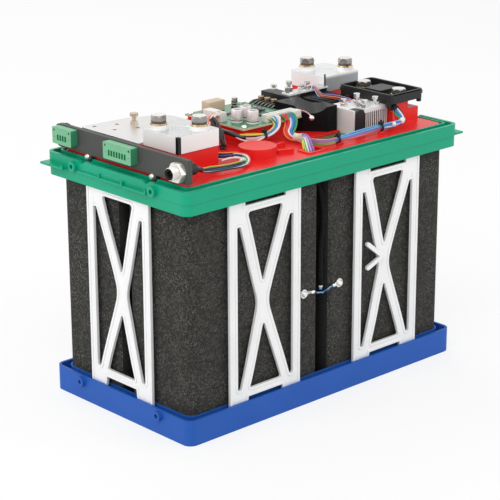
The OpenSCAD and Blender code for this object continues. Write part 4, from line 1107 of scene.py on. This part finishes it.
class SensorPieces(bpy.types.Operator):
    """Ring terminals, the thin wires between them and the lead in the gap"""

    bl_idname = "battery.sensor_pieces"
    bl_label = "Sensor link"

    def execute(self, context):
        coat_nodes("steel", "sensor_terminals")
        shape = Shape()
        bundle(shape, route_path(SENSOR_ROUTE), [(0, 0.0006), (1, 0.0006)], 0.0006, 2.0, 3)
        shape.piece("link_wires", ["wire_navy", "wire_sky"], ["sensor_wires"])
        shape = Shape()
        lead = route_path(LEAD_ROUTE)
        end = lead[-1]
        shape.tube(lead, 0.0025, 0, 16)
        shape.tube([end + mm(0, -0.1, 0.5), end + mm(-0.2, -0.2, -2)], 0.0019, 1, 12)
        shape.tube([end + mm(-0.2, -0.2, -2), end + mm(-0.6, -0.5, -4.2)], 0.0013, 2, 10)
        shape.piece("gap_lead", ["braid", "white", "wire_sky"], ["sensor_lead"])
        return {"FINISHED"}


class FrontHarness(bpy.types.Operator):
    """Loom along the front of the deck, with its branch into the pocket"""

    bl_idname = "battery.front_harness"
    bl_label = "Front loom"

    def execute(self, context):
        r = context.scene.battery_look.wire
        colours = ["wire_pink", "wire_white", "wire_yellow", "wire_purple", "wire_sky", "wire_blue",
            "wire_red", "wire_green", "wire_lilac", "wire_lime", "white", "wire_black"]
        thin = r * 0.75
        shape = Shape()
        fan(shape, route_path(FRONT_ROUTE, (0, 0.38)),
            [(0, thin), (8, thin), (3, thin), (0, thin), (7, thin * 0.8), (9, thin * 0.8)],
            [0.004, 0.005, 0.0044, 0.0036], 11)
        fan(shape, route_path(FRONT_ROUTE, (0.36, 0.76)),
            [(4, thin), (5, r), (4, r), (5, r), (3, thin), (0, r), (6, thin)],
            [0.0036, 0.0056, 0.006, 0.004], 12)
        fan(shape, route_path(FRONT_ROUTE, (0.74, 1)),
            [(4, r), (5, r), (5, thin), (1, r), (3, thin)], [0.004, 0.0044, 0.003], 13)
        shape.tube(route_path(FRONT_ROUTE, (0.86, 0.9)), 0.0026, 10, 14)
        shape.tube(route_path(UP_ROUTE, (0, 0.3)), 0.0028, 10, 14)
        fan(shape, route_path(UP_ROUTE),
            [(7, r), (7, thin), (5, r), (4, thin), (1, r), (11, r)], [0.0036, 0.005, 0.007], 14)
        hanging = [mm(124, -64, 261.5), mm(120, -68, 256), mm(116, -73, 251.5), mm(111, -79, 250.6)]
        shape.tube(smooth_path(hanging, 5), thin, 6, 8)
        fan(shape, route_path(POCKET_ROUTE),
            [(3, r), (3, thin), (8, r), (3, thin), (1, r), (7, r), (9, r), (2, r)],
            [0.005, 0.007, 0.0086, 0.0086], 15)
        shape.piece("front_wires", colours, ["front_harness"])
        # Clump of cloth tape where the looms part, and the black grommet at the holder's corner
        shape = Shape()
        clump = [mm(7.6, -42.6, 248.8), mm(9.4, -46.4, 248.4), mm(9.8, -50, 249), mm(8.8, -54, 250)]
        shape.tube(smooth_path(clump, 4), 0.0038, 0, 14)
        clump = [mm(11.5, -44.5, 247.6), mm(10.5, -48, 246.8), mm(9.4, -52, 246.9)]
        shape.tube(smooth_path(clump, 4), 0.0029, 0, 14)
        shape.tube([mm(125.6, -66.5, 259.6), mm(126.6, -62, 261.2), mm(127, -60, 262.5)], 0.004, 1, 12)
        shape.piece("loom_tape", ["tape", "black"])
        return {"FINISHED"}


class BoardHarness(bpy.types.Operator):
    """Two looms that drop from the wire header"""

    bl_idname = "battery.board_harness"
    bl_label = "Board looms"

    def execute(self, context):
        r = context.scene.battery_look.wire
        colours = ["wire_white", "wire_sky", "wire_orange", "wire_pink", "wire_black", "wire_red",
            "wire_teal", "wire_green", "wire_blue", "wire_yellow"]
        shape = Shape()
        thin = r * 0.75
        fan(shape, route_path(DROP_ONE_ROUTE, (0, 0.58)),
            [(0, r * 1.25), (0, r), (8, r), (1, thin), (9, thin)],
            [0.006, 0.0062, 0.0045, 0.0035], 21, Vector((-0.008, 0, 0)))
        strands = [(0, r), (3, r), (0, thin), (4, thin), (9, r), (2, thin)]
        fan(shape, route_path(DROP_ONE_ROUTE, (0.54, 0.84)), strands, [0.0038, 0.0075, 0.0075, 0.003], 22)
        shape.tube(route_path(DROP_ONE_ROUTE, (0.76, 1)), 0.0024, 4, 12)
        fan(shape, route_path(DROP_TWO_ROUTE),
            [(7, r), (6, r), (8, r), (1, r), (0, r), (5, r), (5, r), (5, r), (2, thin)],
            [0.0125, 0.0125, 0.011, 0.0095, 0.0075, 0.005], 23, Vector((-0.016, 0, 0)))
        shape.piece("board_wires", colours, ["board_harness"])
        return {"FINISHED"}


class BusCable(bpy.types.Operator):
    """Cable from the round connector, which opens into single wires"""

    bl_idname = "battery.bus_cable"
    bl_label = "Bus cable"

    def execute(self, context):
        r = context.scene.battery_look.wire
        colours = ["wire_black", "wire_white", "wire_teal", "wire_lime", "wire_navy", "wire_orange",
            "wire_red", "wire_green"]
        thin = r * 0.7
        shape = Shape()
        shape.tube(route_path(BUS_ROUTE, (0, 0.14)), 0.0026, 0, 14)
        fan(shape, route_path(BUS_ROUTE, (0.12, 0.5)),
            [(3, thin), (5, thin * 0.8), (0, r), (2, thin), (4, thin), (1, r * 1.2), (0, thin)],
            [0.003, 0.005, 0.0046, 0.006], 31)
        fan(shape, route_path(BUS_ROUTE, (0.46, 0.78)),
            [(1, r * 1.4), (1, r * 1.3), (7, thin), (1, r * 1.3), (6, thin * 0.7)],
            [0.007, 0.0065, 0.005, 0.004], 32)
        fan(shape, route_path(BUS_ROUTE, (0.68, 1)),
            [(1, thin), (0, r * 1.2), (4, r * 1.2), (0, r * 1.2), (5, thin)], [0.004, 0.0052, 0.0056], 33)
        inner = [mm(-81, -64, 248.4), mm(-86, -58, 248.4), mm(-93, -57, 248.4), mm(-99, -57, 248)]
        shape.tube(smooth_path(inner, 6), r, 1, 8)
        inner = [p + mm(-0.6, 1.8, 0.3) for p in smooth_path(inner, 6)]
        shape.tube(inner, thin * 0.8, 6, 8)
        shape.piece("bus_wires", colours, ["bus_cable"])
        return {"FINISHED"}


class PowerLeads(bpy.types.Operator):
    """Leads beside the control board, and wires from the relay to the heat sink"""

    bl_idname = "battery.power_leads"
    bl_label = "Power and relay leads"

    def execute(self, context):
        shape = Shape()
        bundle(shape, route_path(POWER_ROUTE), [(0, 0.0018), (0, 0.0017), (0, 0.0016)], 0.0018, 0.3, 41)
        # Short leads between the board's white connector and the left block
        for i, number in enumerate((3, 2, 3, 1, 2)):
            start = mm(-36.5, 15.5 + 1.9 * i, 266.5 - 0.4 * i)
            steps = (mm(0, 0, 0), mm(-4, -0.6, 1.4), mm(-9, -2.4, 0.2), mm(-12.5, -4, -4 - i))
            shape.tube(smooth_path([start + step for step in steps], 5), 0.0009, number, 8)
        shape.piece("block_leads", ["wire_black", "wire_orange", "wire_pink", "wire_white"],
            ["power_leads"])
        r = context.scene.battery_look.wire
        shape = Shape()
        colours = ["wire_sky", "wire_orange", "wire_purple", "wire_red"]
        fan(shape, route_path(RELAY_ROUTE), [(2, r * 0.5), (1, r * 0.55), (3, r * 0.4), (0, r * 0.65)],
            [0.002, 0.004, 0.0055, 0.003], 42)
        shape.piece("relay_strands", colours, ["relay_wires"])
        return {"FINISHED"}


class CableTies(bpy.types.Operator):
    """Ties round the looms, each with its head and cut tail"""

    bl_idname = "battery.cable_ties"
    bl_label = "Cable ties"

    # Place in mm, turn about the vertical in degrees and loop radius in mm
    places = ((30, -79.2, 249, 0, 2.9), (92, -77.6, 249.8, -3, 2.9), (-17, -27, 251.7, 5, 2.7))

    def execute(self, context):
        shape = Shape()
        strap = 0.9
        side = mm(1.2, 0, 0)
        for x, y, z, turn, radius in self.places:
            place = Matrix.Translation(mm(x, y, z)) @ Matrix.Rotation(math.radians(turn), 4, "Z")
            rings = []
            for j in range(28):
                a = 2 * math.pi * j / 28
                out = Vector((0, math.sin(a), math.cos(a)))
                inner = out * radius * MM
                outer = out * (radius + strap) * MM
                rings.append([place @ p for p in (inner - side, inner + side, outer + side, outer - side)])
            shape.skin(rings, 0, closed=True)
            head = place @ Matrix.Translation(mm(0, -0.6, radius + 1.6))
            corner = head.to_translation()
            shape.brick(corner - mm(1.9, 2, 1.2), corner + mm(1.9, 2, 1.6), 0, 0.0005)
            shape.brick(corner + mm(-1.1, -0.4, 1.4), corner + mm(1.1, 0.5, 2.8), 0, 0.0002)
        shape.piece("loom_ties", ["tie"], ["cable_ties"])
        return {"FINISHED"}


# Stage


class Stage(bpy.types.Operator):
    """Pale floor, soft lamps and the camera at the photo's angle"""

    bl_idname = "battery.stage"
    bl_label = "Stage"

    # Place, aim, size in metres and power in watts of each soft lamp
    lamps = (
        ((-1.6, -1.2, 2.4), (0, 0, 0.2), 1.8, 26.0),
        ((1.8, -1.9, 1.6), (0, 0, 0.15), 1.4, 13.0),
        ((-2.4, 0.6, 1.2), (0, 0, 0.15), 1.6, 12.0),
        ((0.6, 2.0, 2.2), (0, 0, 0.2), 1.6, 14.0),
    )

    def floor(self):
        f = Finish("floor")
        mottle = f.noise(0.5, 2)
        tint = f.mixed((0.93, 0.93, 0.93), (0.95, 0.95, 0.95), mottle)
        matt = f.node("ShaderNodeBsdfDiffuse", None, {"Color": tint})
        shown = f.node("ShaderNodeEmission", None, {"Color": (1, 1, 1), "Strength": 1.0})
        both = f.node("ShaderNodeMixShader", None, {0: f.seen_rays() * 0.72, 1: matt, 2: shown})
        f.node("ShaderNodeOutputMaterial", None, {"Surface": both})
        mesh = bpy.data.meshes.new("floor")
        reach = 14
        corners = [(-reach, -reach, 0), (reach, -reach, 0), (reach, reach, 0), (-reach, reach, 0)]
        mesh.from_pydata(corners, [], [(0, 1, 2, 3)])
        mesh.materials.append(f.material)
        floor = bpy.data.objects.new("floor", mesh)
        bpy.context.scene.collection.objects.link(floor)

    def sky(self, strength):
        world = bpy.data.worlds.new("studio")
        bpy.context.scene.world = world
        w = Nodes(world)
        light = w.node("ShaderNodeBackground", None, {"Color": (1, 1, 1), "Strength": strength})
        shown = w.node("ShaderNodeBackground", None, {"Color": (1, 1, 1), "Strength": 1.0})
        both = w.node("ShaderNodeMixShader", None, {0: w.seen_rays(), 1: light, 2: shown})
        w.node("ShaderNodeOutputWorld", None, {"Surface": both})

    def execute(self, context):
        stage = context.scene.battery_stage
        self.floor()
        self.sky(stage.sky)
        for i, (spot, aim, size, power) in enumerate(self.lamps):
            data = bpy.data.lights.new(f"soft_lamp_{i}", "AREA")
            data.size = size
            data.energy = power * stage.lamps
            lamp = bpy.data.objects.new(data.name, data)
            lamp.location = spot
            direction = Vector(aim) - Vector(spot)
            lamp.rotation_euler = direction.to_track_quat("-Z", "Y").to_euler()
            context.scene.collection.objects.link(lamp)
        data = bpy.data.cameras.new("photo_view")
        data.lens = stage.lens
        data.sensor_width = 36
        data.clip_end = 50
        camera = bpy.data.objects.new("photo_view", data)
        turn = (Matrix.Rotation(stage.azimuth, 4, "Z")
            @ Matrix.Rotation(math.pi / 2 - stage.elevation, 4, "X")
            @ Matrix.Rotation(stage.roll, 4, "Z"))
        camera.matrix_world = Matrix.Translation(stage.eye) @ turn
        context.scene.collection.objects.link(camera)
        context.scene.camera = camera
        context.scene.view_settings.view_transform = "Standard"
        return {"FINISHED"}


class BatteryPanel(bpy.types.Panel):
    """Sidebar panel with the settings and one button for each group of pieces"""

    bl_idname = "VIEW3D_PT_battery"
    bl_label = "Battery"
    bl_space_type = "VIEW_3D"
    bl_region_type = "UI"
    bl_category = "Battery"

    def draw(self, context):
        layout = self.layout
        for group in (context.scene.battery_look, context.scene.battery_stage):
            for name in type(group).__annotations__:
                layout.prop(group, name)
        for operator in PIECES:
            layout.operator(operator.bl_idname)


PIECES = (CaseFinish, FrameFinish, FoamFinish, PanelPieces, BusConnector, TerminalPieces, FusePieces,
    ControlBoard, Capacitors, BoardParts, SwitchingPieces, HeatSink, SensorPieces, FrontHarness,
    BoardHarness, BusCable, PowerLeads, CableTies, Stage)
CLASSES = (BatteryLook, BatteryStage, *PIECES, BatteryPanel)


def register():
    for made in CLASSES:
        bpy.utils.register_class(made)
    bpy.types.Scene.battery_look = PointerProperty(type=BatteryLook)
    bpy.types.Scene.battery_stage = PointerProperty(type=BatteryStage)


def unregister():
    del bpy.types.Scene.battery_stage
    del bpy.types.Scene.battery_look
    for made in reversed(CLASSES):
        bpy.utils.unregister_class(made)


def main():
    register()
    for operator in PIECES:
        group, name = operator.bl_idname.split(".")
        getattr(getattr(bpy.ops, group), name)()


if __name__ == "__main__":
    main()
